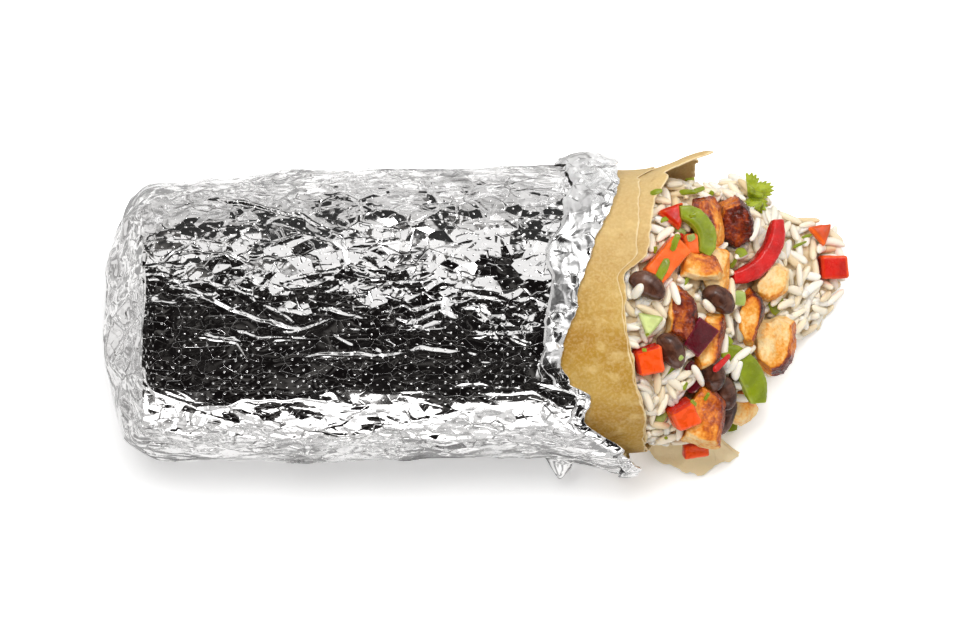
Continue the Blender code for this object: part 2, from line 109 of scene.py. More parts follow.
# The tortilla's mouth: the same columns, with how far the upper layer stops short
TORTILLA_RIM = (
    (0, 0.1660, 0.0045, 0.012),
    (12, 0.1690, 0.0066, 0.015),
    (24, 0.1570, 0.0025, 0.008),
    (40, 0.1530, 0.0005, 0.004),
    (62, 0.1510, 0.0000, 0.003),
    (75, 0.1446, 0.0000, 0.002),
    (90, 0.1445, 0.0000, 0.0003),
    (118, 0.1472, 0.0000, 0.0003),
    (140, 0.1508, 0.0000, 0.0003),
    (180, 0.1515, 0.0000, 0.0003),
    (196, 0.1530, 0.0005, 0.0003),
    (208, 0.1550, 0.0015, 0.0003),
    (222, 0.1580, 0.0020, 0.0003),
    (245, 0.1640, 0.0005, 0.0003),
    (300, 0.1670, 0.0010, 0.002),
    (335, 0.1655, 0.0025, 0.008),
)
FOIL_SKIRT, TORTILLA_FLARE = 0.112, 0.140


def smooth(share):
    """0 to 1, eased at both ends and held there beyond them."""
    share = np.clip(share, 0, 1)
    return share * share * (3 - 2 * share)


def mixed(low, high, share):
    """The value this share of the way from low to high."""
    return low + (high - low) * share


def turned(angles, middle):
    """Degrees from the middle angle to each of these, the short way round."""
    return (angles - middle + 180) % 360 - 180


def along(rim, angle, column):
    """The rim's value in this column at each angle in degrees, eased between its rows."""
    rows = np.array(rim + ((rim[0][0] + 360, *rim[0][1:]),))
    angle = np.asarray(angle) % 360
    row = np.clip(np.searchsorted(rows[:, 0], angle, side="right") - 1, 0, len(rows) - 2)
    share = smooth((angle - rows[row, 0]) / (rows[row + 1, 0] - rows[row, 0]))
    return mixed(rows[row, column], rows[row + 1, column], share)


def skin(x, angle, inset=0.0, share=1.0, out=0.0):
    """Points of the body, moved in or out; a share under 1 draws them in to close the end."""
    turn = np.radians(angle)
    half_width = BODY_WIDTH / 2 * (1 - NARROWING * (1 - smooth(x / NARROWING_RUN)))
    across = np.abs(np.cos(turn)) / half_width
    up = np.abs(np.sin(turn)) / (BODY_HEIGHT / 2)
    reach = (across**SQUARENESS + up**SQUARENESS) ** (-1 / SQUARENESS)
    reach = (reach - inset + out) * share
    y = reach * np.cos(turn) - SIDE_SHIFT * (1 - smooth(x / SIDE_SHIFT_RUN))
    z = reach * np.sin(turn) + MIDDLE_HEIGHT
    return np.stack([x + 0 * y, y, z], axis=-1)


# ---------------------------------------------------------------- noise and relief


def hashed(cell, seed):
    """A number from -1 to 1 for each cell of a 3-D lattice."""
    mix = cell[..., 0] * 374761393 + cell[..., 1] * 668265263 + cell[..., 2] * 1442695041 + seed * 9176237
    mix = (mix ^ (mix >> 13)) * 1274126177 & 0xFFFFFFFF
    return ((mix ^ (mix >> 16)) & 0xFFFF) / 32767.5 - 1


def noise(points, size, seed=0):
    """Smooth noise from -1 to 1 at each point. The size of its bumps is one number, or one for each axis."""
    scaled = np.asarray(points) / size
    cell = np.floor(scaled).astype(np.int64)
    part = scaled - cell
    part = part**3 * (part * (part * 6 - 15) + 10)
    total = np.zeros(scaled.shape[:-1])
    for corner in itertools.product((0, 1), repeat=3):
        total += hashed(cell + corner, seed) * np.prod(np.where(corner, part, 1 - part), axis=-1)
    return total


def turn_matrix(seed):
    """A fixed random rotation."""
    columns, _ = np.linalg.qr(np.random.default_rng(seed).normal(size=(3, 3)))
    return columns


def facets(points, size, seed):
    """Flat-sided relief from -1 to 1: heights at a bent lattice, joined by flat facets with sharp edges."""
    bend = np.stack([noise(points, size * 2.3, seed + axis) for axis in (1, 2, 3)], -1) * size * 0.55
    lattice = (points + bend) @ turn_matrix(seed) / size
    cell = np.floor(lattice).astype(np.int64)
    part = lattice - cell
    order = np.argsort(-part, axis=-1)
    previous = hashed(cell, seed)
    total = previous.copy()
    for step in range(3):
        axis = order[..., step]
        cell = cell + np.eye(3, dtype=np.int64)[axis]
        value = hashed(cell, seed)
        total += (value - previous) * np.take_along_axis(part, axis[..., None], -1)[..., 0]
        previous = value
    return total


def ridges(points, spacing, width, stretch, seed):
    """1 along the borders of a bent, broken, irregular net, falling to 0 within the width."""
    bend = np.stack([noise(points, spacing * 1.4, seed + axis) for axis in (1, 2, 3)], -1) * spacing * 0.30
    flat = ((points + bend) / stretch).reshape(-1, 3)
    low = flat.min(0) - spacing
    counts = np.ceil((flat.max(0) + spacing - low) / spacing).astype(int)
    lattice = np.stack(np.meshgrid(*[np.arange(count) for count in counts], indexing="ij"), -1).reshape(-1, 3)
    jitter = np.random.default_rng(seed).uniform(0, 1, lattice.shape)
    seeds = low + (lattice + jitter) * spacing
    tree = KDTree(len(seeds))
    for index, seed_point in enumerate(seeds):
        tree.insert(seed_point, index)
    tree.balance()
    edge = np.empty(len(flat))
    for index, point in enumerate(flat):
        (first, _, near), (second, _, far) = tree.find_n(point, 2)
        edge[index] = (far**2 - near**2) / (2 * (first - second).length)
    edge = edge.reshape(points.shape[:-1])
    worth = smooth(0.45 + 1.5 * noise(points, spacing * 1.5, seed + 9))
    return np.maximum(0, 1 - edge / width) * worth


def line_distance(points, line):
    """How far each point lies from a broken line in plan, on which side, and the share of the way along."""
    line = np.array(line)
    lengths = np.linalg.norm(np.diff(line, axis=0), axis=-1)
    nearest = np.full(points.shape[:-1], 1.0)
    side = np.zeros(points.shape[:-1])
    travelled = np.zeros(points.shape[:-1])
    for index, (start, end) in enumerate(zip(line[:-1], line[1:])):
        way = end - start
        off = points[..., :2] - start
        share = np.clip((off @ way) / (way @ way), 0, 1)
        away = np.linalg.norm(off - share[..., None] * way, axis=-1)
        cross = off[..., 0] * way[1] - off[..., 1] * way[0]
        closer = away < nearest
        side = np.where(closer, np.sign(cross), side)
        travelled = np.where(closer, lengths[:index].sum() + share * lengths[index], travelled)
        nearest = np.minimum(nearest, away)
    return nearest, side, travelled / lengths.sum()


# ---------------------------------------------------------------- meshes


def unselect():
    """Leave nothing selected."""
    for chosen in bpy.context.selected_objects:
        chosen.select_set(False)


def choose(made):
    """Make this the one selected, active object."""
    unselect()
    made.select_set(True)
    bpy.context.view_layer.objects.active = made


def name_it(made, name):
    """Name an object and its data alike."""
    made.name = made.data.name = name
    return made


def get_points(made):
    """Its vertices, one row each."""
    flat = np.empty(len(made.data.vertices) * 3)
    made.data.vertices.foreach_get("co", flat)
    return flat.reshape(-1, 3)


def set_points(made, points):
    """Move its vertices to these points."""
    made.data.vertices.foreach_set("co", np.ascontiguousarray(points).ravel())
    made.data.update()


def get_normals(made):
    """The normal at each vertex, one row each."""
    flat = np.empty(len(made.data.vertices) * 3)
    made.data.vertex_normals.foreach_get("vector", flat)
    return flat.reshape(-1, 3)


def mark(made, name, values):
    """Stores a number at each vertex, for the material."""
    layer = made.data.attributes.new(name, "FLOAT", "POINT")
    layer.data.foreach_set("value", np.asarray(values, dtype=np.float32))


def modify(made, kind, **settings):
    """Adds a modifier with these settings and applies it."""
    choose(made)
    added = made.modifiers.new(kind.title(), kind)
    for key, value in settings.items():
        setattr(added, key, value)
    bpy.ops.object.modifier_apply(modifier=added.name)


def grid_normals(points):
    """The outward normal at each point of a grid of rows of closed rings."""
    down = np.gradient(points, axis=0)
    across = (np.roll(points, -1, axis=1) - np.roll(points, 1, axis=1)) / 2
    normal = np.cross(across, down)
    return normal / np.maximum(np.linalg.norm(normal, axis=-1, keepdims=True), 1e-12)


def rolled_sheet(name, points, uv=None, **marks):
    """A sheet rolled into rings: quads through the points (rows, columns, 3), moved by HOME."""
    rows, columns = points.shape[:2]
    unselect()
    bpy.ops.mesh.primitive_grid_add(x_subdivisions=columns, y_subdivisions=rows - 1, size=1)
    made = name_it(bpy.context.object, name)
    plan = get_points(made)
    column = np.rint((plan[:, 0] + 0.5) * columns).astype(int)
    row = np.rint((plan[:, 1] + 0.5) * (rows - 1)).astype(int)
    if uv is not None:
        corners = np.empty(len(made.data.loops), dtype=np.int64)
        made.data.loops.foreach_get("vertex_index", corners)
        values = uv[row, column][corners].astype(np.float32)
        made.data.uv_layers[0].data.foreach_set("uv", values.ravel())
    for key, values in marks.items():
        mark(made, key, values[row, column % columns])
    set_points(made, points[row, column % columns] + HOME)
    bpy.ops.object.mode_set(mode="EDIT")
    bpy.ops.mesh.select_all(action="SELECT")
    bpy.ops.mesh.remove_doubles(threshold=1e-7)
    bpy.ops.mesh.normals_make_consistent(inside=False)
    bpy.ops.object.mode_set(mode="OBJECT")
    made.data.shade_smooth()
    return made


def place_piece(made, finish, slot, *nodes):
    """Gives a finished piece its material and its body, and hides the solids it stands for; the slot is not
    used.
    """
    made.data.materials.clear()
    made.data.materials.append(finish)
    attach(made, "root")
    if nodes:
        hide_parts(*nodes)


# ---------------------------------------------------------------- materials


def add_node(tree, kind, values=(), **settings):
    """A node with these settings; values go from socket to constant, or to the socket that feeds it."""
    node = tree.nodes.new(kind)
    for key, value in settings.items():
        setattr(node, key, value)
    for key, value in dict(values).items():
        feed(tree, node.inputs[key], value)
    return node


def feed(tree, socket, value):
    """Link another socket to this one, or set its constant."""
    if isinstance(value, bpy.types.NodeSocket):
        tree.links.new(value, socket)
    elif socket.type == "RGBA" and len(value) == 3:
        socket.default_value = (*value, 1)
    else:
        socket.default_value = value


def maths(tree, operation, *values, clamp=False):
    """The outcome of a Math node."""
    node = add_node(tree, "ShaderNodeMath", dict(enumerate(values)), operation=operation, use_clamp=clamp)
    return node.outputs[0]


def vector(tree, operation, first, second):
    """The outcome of a Vector Math node."""
    return add_node(tree, "ShaderNodeVectorMath", {0: first, 1: second}, operation=operation).outputs[0]


def dot_product(tree, first, second):
    """How far one vector runs along another."""
    values = {0: first, 1: second}
    return add_node(tree, "ShaderNodeVectorMath", values, operation="DOT_PRODUCT").outputs["Value"]


def eased(tree, value, low, high, start=0.0, end=1.0):
    """The value between low and high, turned smoothly into start to end."""
    settings = {"Value": value, "From Min": low, "From Max": high, "To Min": start, "To Max": end}
    return add_node(tree, "ShaderNodeMapRange", settings, interpolation_type="SMOOTHSTEP").outputs[0]


def blend(tree, share, first, second):
    """Two colours mixed: all of the second where the share is 1."""
    node = add_node(tree, "ShaderNodeMix", data_type="RGBA")
    for index, value in ((0, share), (6, first), (7, second)):
        feed(tree, node.inputs[index], value)
    return node.outputs[2]


def tinted(tree, colour, share, most, tone):
    """The colour, with up to this much of a tone mixed in where the share is 1."""
    return blend(tree, maths(tree, "MULTIPLY", share, most), colour, tone)


def ramp(tree, value, *stops):
    """Colours along a value: each stop is (position, colour)."""
    node = add_node(tree, "ShaderNodeValToRGB", {"Fac": value})
    elements = node.color_ramp.elements
    elements.remove(elements[1])
    elements[0].position = stops[0][0]
    elements[0].color = (*stops[0][1], 1)
    for place, colour in stops[1:]:
        elements.new(place).color = (*colour, 1)
    return node.outputs["Color"]


def own_place(tree):
    """The object's own coordinates."""
    return add_node(tree, "ShaderNodeTexCoord").outputs["Object"]


def noise_over(tree, place, scale, detail, distortion=0.0):
    """A noise texture over these coordinates, as a node."""
    values = {"Vector": place, "Scale": scale, "Detail": detail, "Distortion": distortion}
    return add_node(tree, "ShaderNodeTexNoise", values)


def speckle(tree, scale, detail=2.0, stretch=(1, 1, 1), distortion=0.0):
    """Noise over the object's own coordinates, from 0 to 1."""
    place = vector(tree, "MULTIPLY", own_place(tree), stretch)
    return noise_over(tree, place, scale, detail, distortion).outputs["Fac"]


def attribute(tree, name):
    """A number marked on the mesh."""
    return add_node(tree, "ShaderNodeAttribute", attribute_name=name).outputs["Fac"]


def shade(name, roughness=0.5, metallic=0.0, specular=0.5, subsurface=0.0, coat=0.0):
    """A new material with a Principled shader: its node tree and the shader."""
    made = bpy.data.materials.new(name)
    made.use_nodes = True
    shader = made.node_tree.nodes["Principled BSDF"]
    shader.inputs["Roughness"].default_value = roughness
    shader.inputs["Metallic"].default_value = metallic
    shader.inputs["Specular IOR Level"].default_value = specular
    shader.inputs["Subsurface Weight"].default_value = subsurface
    shader.inputs["Subsurface Radius"].default_value = (1.0, 0.6, 0.35)
    shader.inputs["Subsurface Scale"].default_value = 0.0012
    shader.inputs["Coat Weight"].default_value = coat
    shader.inputs["Coat Roughness"].default_value = 0.12
    return made, made.node_tree, shader


def bumped(tree, shader, height, distance):
    """Give the shader relief of this height."""
    node = add_node(tree, "ShaderNodeBump", {"Height": height, "Distance": distance})
    tree.links.new(node.outputs[0], shader.inputs["Normal"])


def node_group(name, inputs, output, fill):
    """The node group of this name. The first time it is made: inputs are (name, type, default), and
    fill(group, sockets of the inputs) gives the socket for its one output, a number."""
    if name in bpy.data.node_groups:
        return bpy.data.node_groups[name]
    group = bpy.data.node_groups.new(name, "ShaderNodeTree")
    for label, kind, default in inputs:
        socket = group.interface.new_socket(label, in_out="INPUT", socket_type="NodeSocket" + kind)
        if default is not None:
            socket.default_value = default
    group.interface.new_socket(output, in_out="OUTPUT", socket_type="NodeSocketFloat")
    given = group.nodes.new("NodeGroupInput")
    result = group.nodes.new("NodeGroupOutput")
    group.links.new(fill(group, given.outputs), result.inputs[output])
    return group


def use_group(tree, group, **values):
    """The output of a node group, given these values."""
    node = tree.nodes.new("ShaderNodeGroup")
    node.node_tree = group
    for key, value in values.items():
        feed(tree, node.inputs[key], value)
    return node.outputs[0]


def food_relief(group, given):
    """Fine wet relief of cut food, as a height from 0 to 1."""
    place = own_place(group)
    coarse = noise_over(group, place, given["Scale"], 3.0)
    cell_scale = maths(group, "MULTIPLY", given["Scale"], 1.7)
    cells = add_node(group, "ShaderNodeTexVoronoi", {"Vector": place, "Scale": cell_scale})
    return maths(group, "MULTIPLY_ADD", cells.outputs["Distance"], 0.35, coarse.outputs["Fac"])


def food_surface(tree, shader, colour, rough, scale, depth):
    """Give a food its colour, its roughness where that varies, and fine wet relief."""
    tree.links.new(colour, shader.inputs["Base Color"])
    if rough is not None:
        tree.links.new(rough, shader.inputs["Roughness"])
    group = node_group("Food relief", (("Scale", "Float", 900.0),), "Height", food_relief)
    bumped(tree, shader, use_group(tree, group, Scale=scale), depth)


# ---------------------------------------------------------------- foil

LONG_CREASES = (  # folds along the top of the foil: (height, width of the gentle side, points in x and y)
    (0.00060, 0.0017, ((0.0165, 0.0062), (0.0250, 0.0066), (0.0318, 0.0030),
                       (0.0384, -0.0006), (0.0520, -0.0046), (0.0600, -0.0053))),
    (0.00070, 0.0012, ((0.0430, -0.0150), (0.0384, -0.0086), (0.0300, -0.0070), (0.0174, -0.0062))),
    (0.00035, 0.0009, ((0.0310, -0.0040), (0.0450, -0.0072), (0.0600, -0.0073))),
    (0.00030, 0.0009, ((0.0600, -0.0090), (0.0520, -0.0068), (0.0440, -0.0094), (0.0400, -0.0090))),
    (0.00055, 0.0011, ((0.0520, -0.0142), (0.0610, -0.0120), (0.0760, -0.0122),
                       (0.0900, -0.0100), (0.1080, -0.0122))),
    (0.00060, 0.0017, ((0.0700, -0.0262), (0.0573, -0.0239), (0.0400, -0.0240), (0.0262, -0.0277))),
    (0.00050, 0.0011, ((0.0660, -0.0200), (0.0800, -0.0222), (0.0960, -0.0196), (0.1150, -0.0190))),
    (0.00045, 0.0010, ((0.1210, -0.0100), (0.1120, -0.0062), (0.1000, -0.0068), (0.0880, -0.0040))),
    (0.00090, 0.0022, ((0.0700, 0.0190), (0.0560, 0.0262), (0.0400, 0.0300), (0.0250, 0.0318))),
    (0.00050, 0.0009, ((0.0180, 0.0150), (0.0270, 0.0165), (0.0360, 0.0150), (0.0460, 0.0110))),
    (0.00035, 0.0009, ((0.0720, 0.0290), (0.0860, 0.0262), (0.1010, 0.0300), (0.1130, 0.0330))),
    (0.00040, 0.0009, ((0.0880, 0.0120), (0.0760, 0.0090), (0.0640, 0.0110))),
    (0.00030, 0.0009, ((0.0640, -0.0060), (0.0700, -0.0095), (0.0690, -0.0140), (0.0740, -0.0190))),
    (0.00030, 0.0009, ((0.0830, -0.0180), (0.0850, -0.0120), (0.0800, -0.0060))),
    (0.00030, 0.0009, ((0.0260, -0.0180), (0.0330, -0.0215), (0.0420, -0.0205),
                       (0.0500, -0.0170), (0.0560, -0.0175))),
    (0.00030, 0.0009, ((0.0215, -0.0080), (0.0225, -0.0130), (0.0210, -0.0190))),
    (0.00030, 0.0009, ((0.0480, 0.0010), (0.0560, -0.0010), (0.0640, 0.0005), (0.0760, -0.0030))),
    (0.00040, 0.0017, ((0.0150, -0.0330), (0.0400, -0.0345), (0.0700, -0.0335),
                       (0.1000, -0.0350), (0.1220, -0.0340))),
    (0.00040, 0.0017, ((0.1220, 0.0355), (0.0950, 0.0362), (0.0650, 0.0348),
                       (0.0350, 0.0352), (0.0180, 0.0320))),
)
END_CREASE = (  # the fold between the closed end and the top
    (0.0190, 0.0270),
    (0.0128, 0.0190),
    (0.0138, 0.0080),
    (0.0126, -0.0060),
    (0.0138, -0.0190),
    (0.0190, -0.0270),
)
CREASE_WIDTH = 0.0005
SHORT_CREASES = 76
# Ridges all over: (spacing, width, stretch in x, seed, height, share of it lost where the foil lies calm)
RIDGES = (
    (0.0120, 0.0006, 1.8, 31, 0.00030, 0.60),
    (0.0055, 0.0005, 1.3, 35, 0.00012, 0.88),
    (0.0075, 0.0007, 1.5, 37, -0.00022, 0.92),
)
# The closed end over the top: (degrees down its slope, x, share)
BLUNT_END = (
    (0, 0.0016, 0.0),
    (34, 0.0010, 0.44),
    (46, 0.0022, 0.56),
    (72, 0.0126, 0.990),
    (90, 0.0160, 1.0),
)
END_ROWS, SIDE_ROWS = 90, 212
END_PIECE_ROWS = 72  # rows of the closed end that are a piece of their own
END_LENGTH = 0.043  # from the pole of the closed end over its edge to the body
CUFF_DEPTH = 0.012  # how far the foil is drawn inside its rim


def foil_columns():
    """Angles of the foil's columns: close together over the top, wide apart underneath."""
    top = np.linspace(-12, 192, 330, endpoint=False)
    bottom = np.linspace(192, 348, 96, endpoint=False)
    return np.concatenate([top, bottom])


def section_lengths(angles):
    """Length round the body from its +Y side to each angle, and once all the way round at the end."""
    fine = np.linspace(-12, 348, 1441)
    steps = np.linalg.norm(np.diff(skin(0.08, fine), axis=0), axis=-1)
    lengths = np.concatenate([[0], np.cumsum(steps)])
    return np.append(np.interp(angles, fine, lengths), lengths[-1])


def surface_map(lengths, angles):
    """Surface lengths in metres along the body and round it, for the embossing."""
    lengths = lengths + 0 * angles
    lengths = np.concatenate([lengths, lengths[:, :1]], axis=1)
    return np.stack(np.broadcast_arrays(lengths, section_lengths(angles)[None, :]), -1)


def closed_end(rows, angles):
    """x and share of the closed end: round at the sides, with a blunt chamfer over the top."""
    slope = np.linspace(0, 90, rows, endpoint=False)[:, None]
    power = 2 / CAP_SQUARENESS
    x = CAP_DEPTH - (CAP_DEPTH - 0.0015) * np.cos(np.radians(slope)) ** power
    share = np.sin(np.radians(slope)) ** power
    down, blunt_x, blunt_share = np.array(BLUNT_END).T
    blunt_x = np.interp(slope, down, blunt_x)
    blunt_share = np.interp(slope, down, blunt_share)
    over = smooth((np.sin(np.radians(angles))[None, :] - 0.42) / 0.35)
    return mixed(x, blunt_x, over), mixed(share, blunt_share, over)


def foil_flare(x, angles):
    """How far the foil stands out from the body near its rim and at its pinched corners."""
    reach = along(FOIL_RIM, angles, 1)
    flare = along(FOIL_RIM, angles, 2) * smooth((x - FOIL_SKIRT) / (reach - FOIL_SKIRT)) ** 2
    for ear_x, ear_angle, height, length, spread in EARS:
        off_x = (x - ear_x) / length
        off_angle = turned(angles, ear_angle) / spread
        flare = flare + height * np.exp(-(off_x**2) - off_angle**2)
    return flare


def calmness(points):
    """1 where the foil lies smooth: over the middle of the top and down towards -Y."""
    x, y = points[..., 0], points[..., 1]
    up = smooth((points[..., 2] - 0.050) / 0.008)
    upper_edge = mixed(0.0075, -0.0025, smooth((x - 0.020) / 0.095)) + 0.003 * noise(points, 0.014, 71)
    band = smooth((upper_edge - y) / 0.005) * smooth((y + 0.0300) / 0.006)
    return up * band * smooth((x - 0.0125) / 0.002)


def crumple(points):
    """How far the crumpled foil stands out at each point, in metres."""
    calm = calmness(points)
    patchy = smooth(0.55 + 1.0 * noise(points, 0.020, 4))
    stretched = points * (0.72, 1, 1)
    end = 1 - smooth((points[..., 0] - 0.006) / 0.010)
    total = facets(stretched, 0.0125, 61) * 0.00055 * (1 - 0.50 * calm)
    total += facets(stretched, 0.0062, 65) * 0.00058 * (1 - 0.90 * calm) * mixed(0.55, 1.0, patchy)
    total += facets(points, 0.0032, 69) * 0.00010 * (1 - 0.92 * calm) * mixed(0.3, 1.0, patchy)
    total += noise(points, (0.022, 0.0065, 0.0065), 75) * 0.00034 * calm
    steep = 1 - smooth((points[..., 2] - 0.030) / 0.024)
    total += facets(points * (0.6, 1, 1), 0.0085, 77) * 0.00060 * steep
    total *= 1 - 0.45 * end
    for spacing, width, stretch, seed, height, loss in RIDGES:
        net = ridges(points, spacing, width, np.array((stretch, 1, 1)), seed)
        total += net * height * (1 - loss * calm) * (1 - end)
    total += end * (facets(points, 0.0085, 81) * 0.0017 + facets(points, 0.0042, 85) * 0.00036)
    return total


def short_creases():
    """Many small folds over the smooth part of the top, most of them along the body."""
    rng = np.random.default_rng(17)
    folds = []
    for _ in range(SHORT_CREASES):
        start = np.array((rng.uniform(0.014, 0.118), rng.uniform(-0.028, 0.008)))
        turn = rng.normal() * 0.26
        line = [start]
        for _ in range(3):
            turn += rng.normal() * 0.24
            step = rng.uniform(0.0012, 0.0075)
            line.append(line[-1] + step * np.array((math.cos(turn), math.sin(turn))))
        folds.append((rng.uniform(0.00008, 0.00036), rng.uniform(0.0006, 0.0017), line))
    return folds


def creases(points):
    """The folds over the top: a pinched ridge, with the foil slumped on one side of it."""
    top = smooth((points[..., 2] - 0.046) / 0.006)
    wobble = np.stack([noise(points, 0.005, 90), noise(points, 0.004, 120)], -1) * 0.0006
    broken = np.clip(0.80 + 0.8 * noise(points, 0.0050, 150), 0.1, 1.4)
    total = np.zeros(points.shape[:-1])
    for height, slump, line in (*LONG_CREASES, *short_creases()):
        away, side, share = line_distance(points[..., :2] + wobble, line)
        taper = smooth(share / 0.15) * smooth((1 - share) / 0.25)
        steep = np.maximum(0, 1 - away / CREASE_WIDTH)
        gentle = np.exp(-away / slump)
        total += np.where(side > 0, gentle, steep) * height * taper * broken
    away, _, _ = line_distance(points, END_CREASE)
    broken = np.clip(0.7 + noise(points, 0.004, 190), 0, 1)
    total += 0.00035 * np.maximum(0, 1 - away / 0.0009) * broken
    return total * top


def foil_body_points(x, share, angles):
    """The crumpled body of the foil, drawn in and quieter where the cuff covers it."""
    free_edge = along(FOIL_RIM, angles, 1) - 0.90 * along(FOIL_RIM, angles, 3)
    covered = smooth((x - free_edge) / 0.003)
    points = skin(x, angles[None, :], 0.0006 + 0.0006 * covered, share, foil_flare(x, angles))
    normal = grid_normals(points)
    height = (crumple(points) + creases(points)) * (1 - 0.75 * covered)
    points = points + normal * height[..., None]
    lift = 0.0004 + 0.0045 * (1 - smooth(points[..., 0] / 0.012)) ** 2
    points[..., 2] = np.clip(points[..., 2], lift, CEILING)
    points[..., 0] = np.maximum(points[..., 0], 0.00005)
    return points


def foil_body():
    """The foil from its closed end to under the cuff, in two pieces that meet in the crease round the end."""
    angles = foil_columns()
    end_x, share = closed_end(END_ROWS, angles)
    reach = along(FOIL_RIM, angles, 1)
    under_cuff = np.maximum(0.1335, reach - 0.70 * along(FOIL_RIM, angles, 3))
    side_end = np.minimum(under_cuff, reach - 0.003)
    side_x = mixed(CAP_DEPTH, side_end, np.linspace(0, 1, SIDE_ROWS)[:, None])
    x = np.concatenate([end_x, side_x])
    share = np.concatenate([share, np.ones_like(side_x)])
    points = foil_body_points(x, share, angles)
    end_lengths = np.linspace(0, END_LENGTH, END_ROWS, endpoint=False)[:, None] + 0 * angles
    uv = surface_map(np.concatenate([end_lengths, END_LENGTH + side_x - CAP_DEPTH]), angles)
    drawn_on = smooth((points[..., 2] - 0.030) / 0.020) * smooth((x - 0.004) / 0.010)
    marks = {
        "embossed": smooth((x - 0.011) / 0.004),
        "dull": 0 * x,
        "calm": calmness(points),
        "plain": 0.85 * (1 - drawn_on),
    }
    end_rows, body_rows = slice(0, END_PIECE_ROWS + 1), slice(END_PIECE_ROWS, None)
    pieces = []
    for name, rows in (("foil_end", end_rows), ("foil_body", body_rows)):
        kept = {key: values[rows] for key, values in marks.items()}
        pieces.append(rolled_sheet(name, points[rows], uv[rows], **kept))
    return pieces


def kept_in(across, give=0.0020):
    """Y values, those near the sides of the CAD part's box eased to stay inside it."""
    limit = CAD_BOX[1].y - 0.0002 - give
    place = across + HOME[1]
    over = np.maximum(np.abs(place) - limit, 0) / give
    eased_in = np.sign(place) * (limit + give * (1 - np.exp(-over)))
    return np.where(over > 0, eased_in, place) - HOME[1]


def foil_cuff():
    """The turned-back end of the foil: from its free edge over the body to the torn rim, and in."""
    rows_out, rows_in, columns = 62, 26, 620
    angles = np.arange(columns) * 360 / columns
    torn = skin(0.13, angles)
    tear = 0.0009 * facets(torn, 0.0050, 41) + 0.0005 * facets(torn, 0.0020, 43)
    reach = along(FOIL_RIM, angles, 1) + tear
    width = along(FOIL_RIM, angles, 3) * (1 + 0.22 * noise(torn, 0.008, 45))
    share = np.linspace(0, 1, rows_out)[:, None]
    x_out = reach - width * (1 - share)
    puff = smooth(share / 0.10) * (1 - share) ** 0.8
    rise = mixed(0.00010, 0.0013, puff) * smooth(width / 0.006)
    points_out = skin(x_out, angles[None, :], -rise, 1.0, foil_flare(x_out, angles))
    depth = np.linspace(0, 1, rows_in)[1:, None]
    x_in = reach - CUFF_DEPTH * depth
    tuck = 0.0002 + 0.0007 * smooth(depth * 3)
    points_in = skin(x_in, angles[None, :], tuck, 1.0, foil_flare(x_in, angles))
    points = np.concatenate([points_out, points_in])
    normal = np.concatenate([grid_normals(points_out), grid_normals(points_in)])
    height = facets(points, 0.0060, 51) * 0.00060 + facets(points, 0.0029, 55) * 0.00042
    height += facets(points, 0.0014, 59) * 0.00013
    height += ridges(points, 0.0040, 0.0005, np.array((1.4, 1, 1)), 57) * 0.00028
    amount = np.concatenate([mixed(0.35, 1.0, smooth(share * 4)), np.full((rows_in - 1, 1), 0.9)])
    points = points + normal * (height * amount)[..., None]
    points[..., 1] = kept_in(points[..., 1])
    points[..., 2] = np.clip(points[..., 2], 0.0001, CEILING)
    lengths_in = CUFF_DEPTH + np.linspace(0, CUFF_DEPTH, rows_in)[1:]
    lengths = np.concatenate([np.linspace(0, CUFF_DEPTH, rows_out), lengths_in])
    uv = surface_map(lengths[:, None], angles)
    turned_back = 1 - smooth((np.abs(turned(angles, 40)) - 66) / 12)
    dull = np.concatenate([turned_back + 0 * x_out, 0.2 + 0 * x_in])
    marks = {"embossed": 0.5 * (1 - dull), "dull": dull, "calm": 0 * dull, "plain": 0 * dull}
    return rolled_sheet("foil_cuff", points, uv, **marks)


def embossed_dots(group, given):
    """The height of small round dots in staggered rows, from a surface map in metres."""
    inverse = maths(group, "DIVIDE", 1.0, given["Spacing"])
    values = {0: given["Map"], "Scale": inverse}
    scaled = add_node(group, "ShaderNodeVectorMath", values, operation="SCALE").outputs[0]
    distances = []
    for shift in (0.0, 0.5):
        cell = vector(group, "FRACTION", vector(group, "ADD", scaled, (shift, shift, 0)), (0, 0, 0))
        middle = vector(group, "SUBTRACT", cell, (0.5, 0.5, 0))
        flat = vector(group, "MULTIPLY", middle, (1, 1, 0))
        length = add_node(group, "ShaderNodeVectorMath", {0: flat}, operation="LENGTH").outputs["Value"]
        distances.append(maths(group, "MULTIPLY", length, given["Spacing"]))
    share = maths(group, "DIVIDE", maths(group, "MINIMUM", *distances), given["Radius"])
    within = maths(group, "SUBTRACT", 1.0, share, clamp=True)
    return maths(group, "MULTIPLY", within, maths(group, "SUBTRACT", 2.0, within))


def fine_creases(group, given):
    """A bent, broken net of thin lines, 1 on a line."""
    place = own_place(group)
    warp = noise_over(group, place, 130.0, 2.0).outputs["Color"]
    warp = vector(group, "SUBTRACT", warp, (0.5, 0.5, 0.5))
    warp = vector(group, "MULTIPLY", warp, (0.0022, 0.0022, 0.0022))
    place = vector(group, "MULTIPLY", vector(group, "ADD", place, warp), given["Stretch"])
    values = {"Vector": place, "Scale": given["Scale"]}
    net = add_node(group, "ShaderNodeTexVoronoi", values, feature="DISTANCE_TO_EDGE").outputs["Distance"]
    line = maths(group, "SUBTRACT", 1.0, maths(group, "DIVIDE", net, given["Width"]), clamp=True)
    broken = noise_over(group, place, 240.0, 1.0).outputs["Fac"]
    broken = maths(group, "SUBTRACT", broken, given["Rare"])
    return maths(group, "MULTIPLY", line, eased(group, broken, 0.49, 0.62))


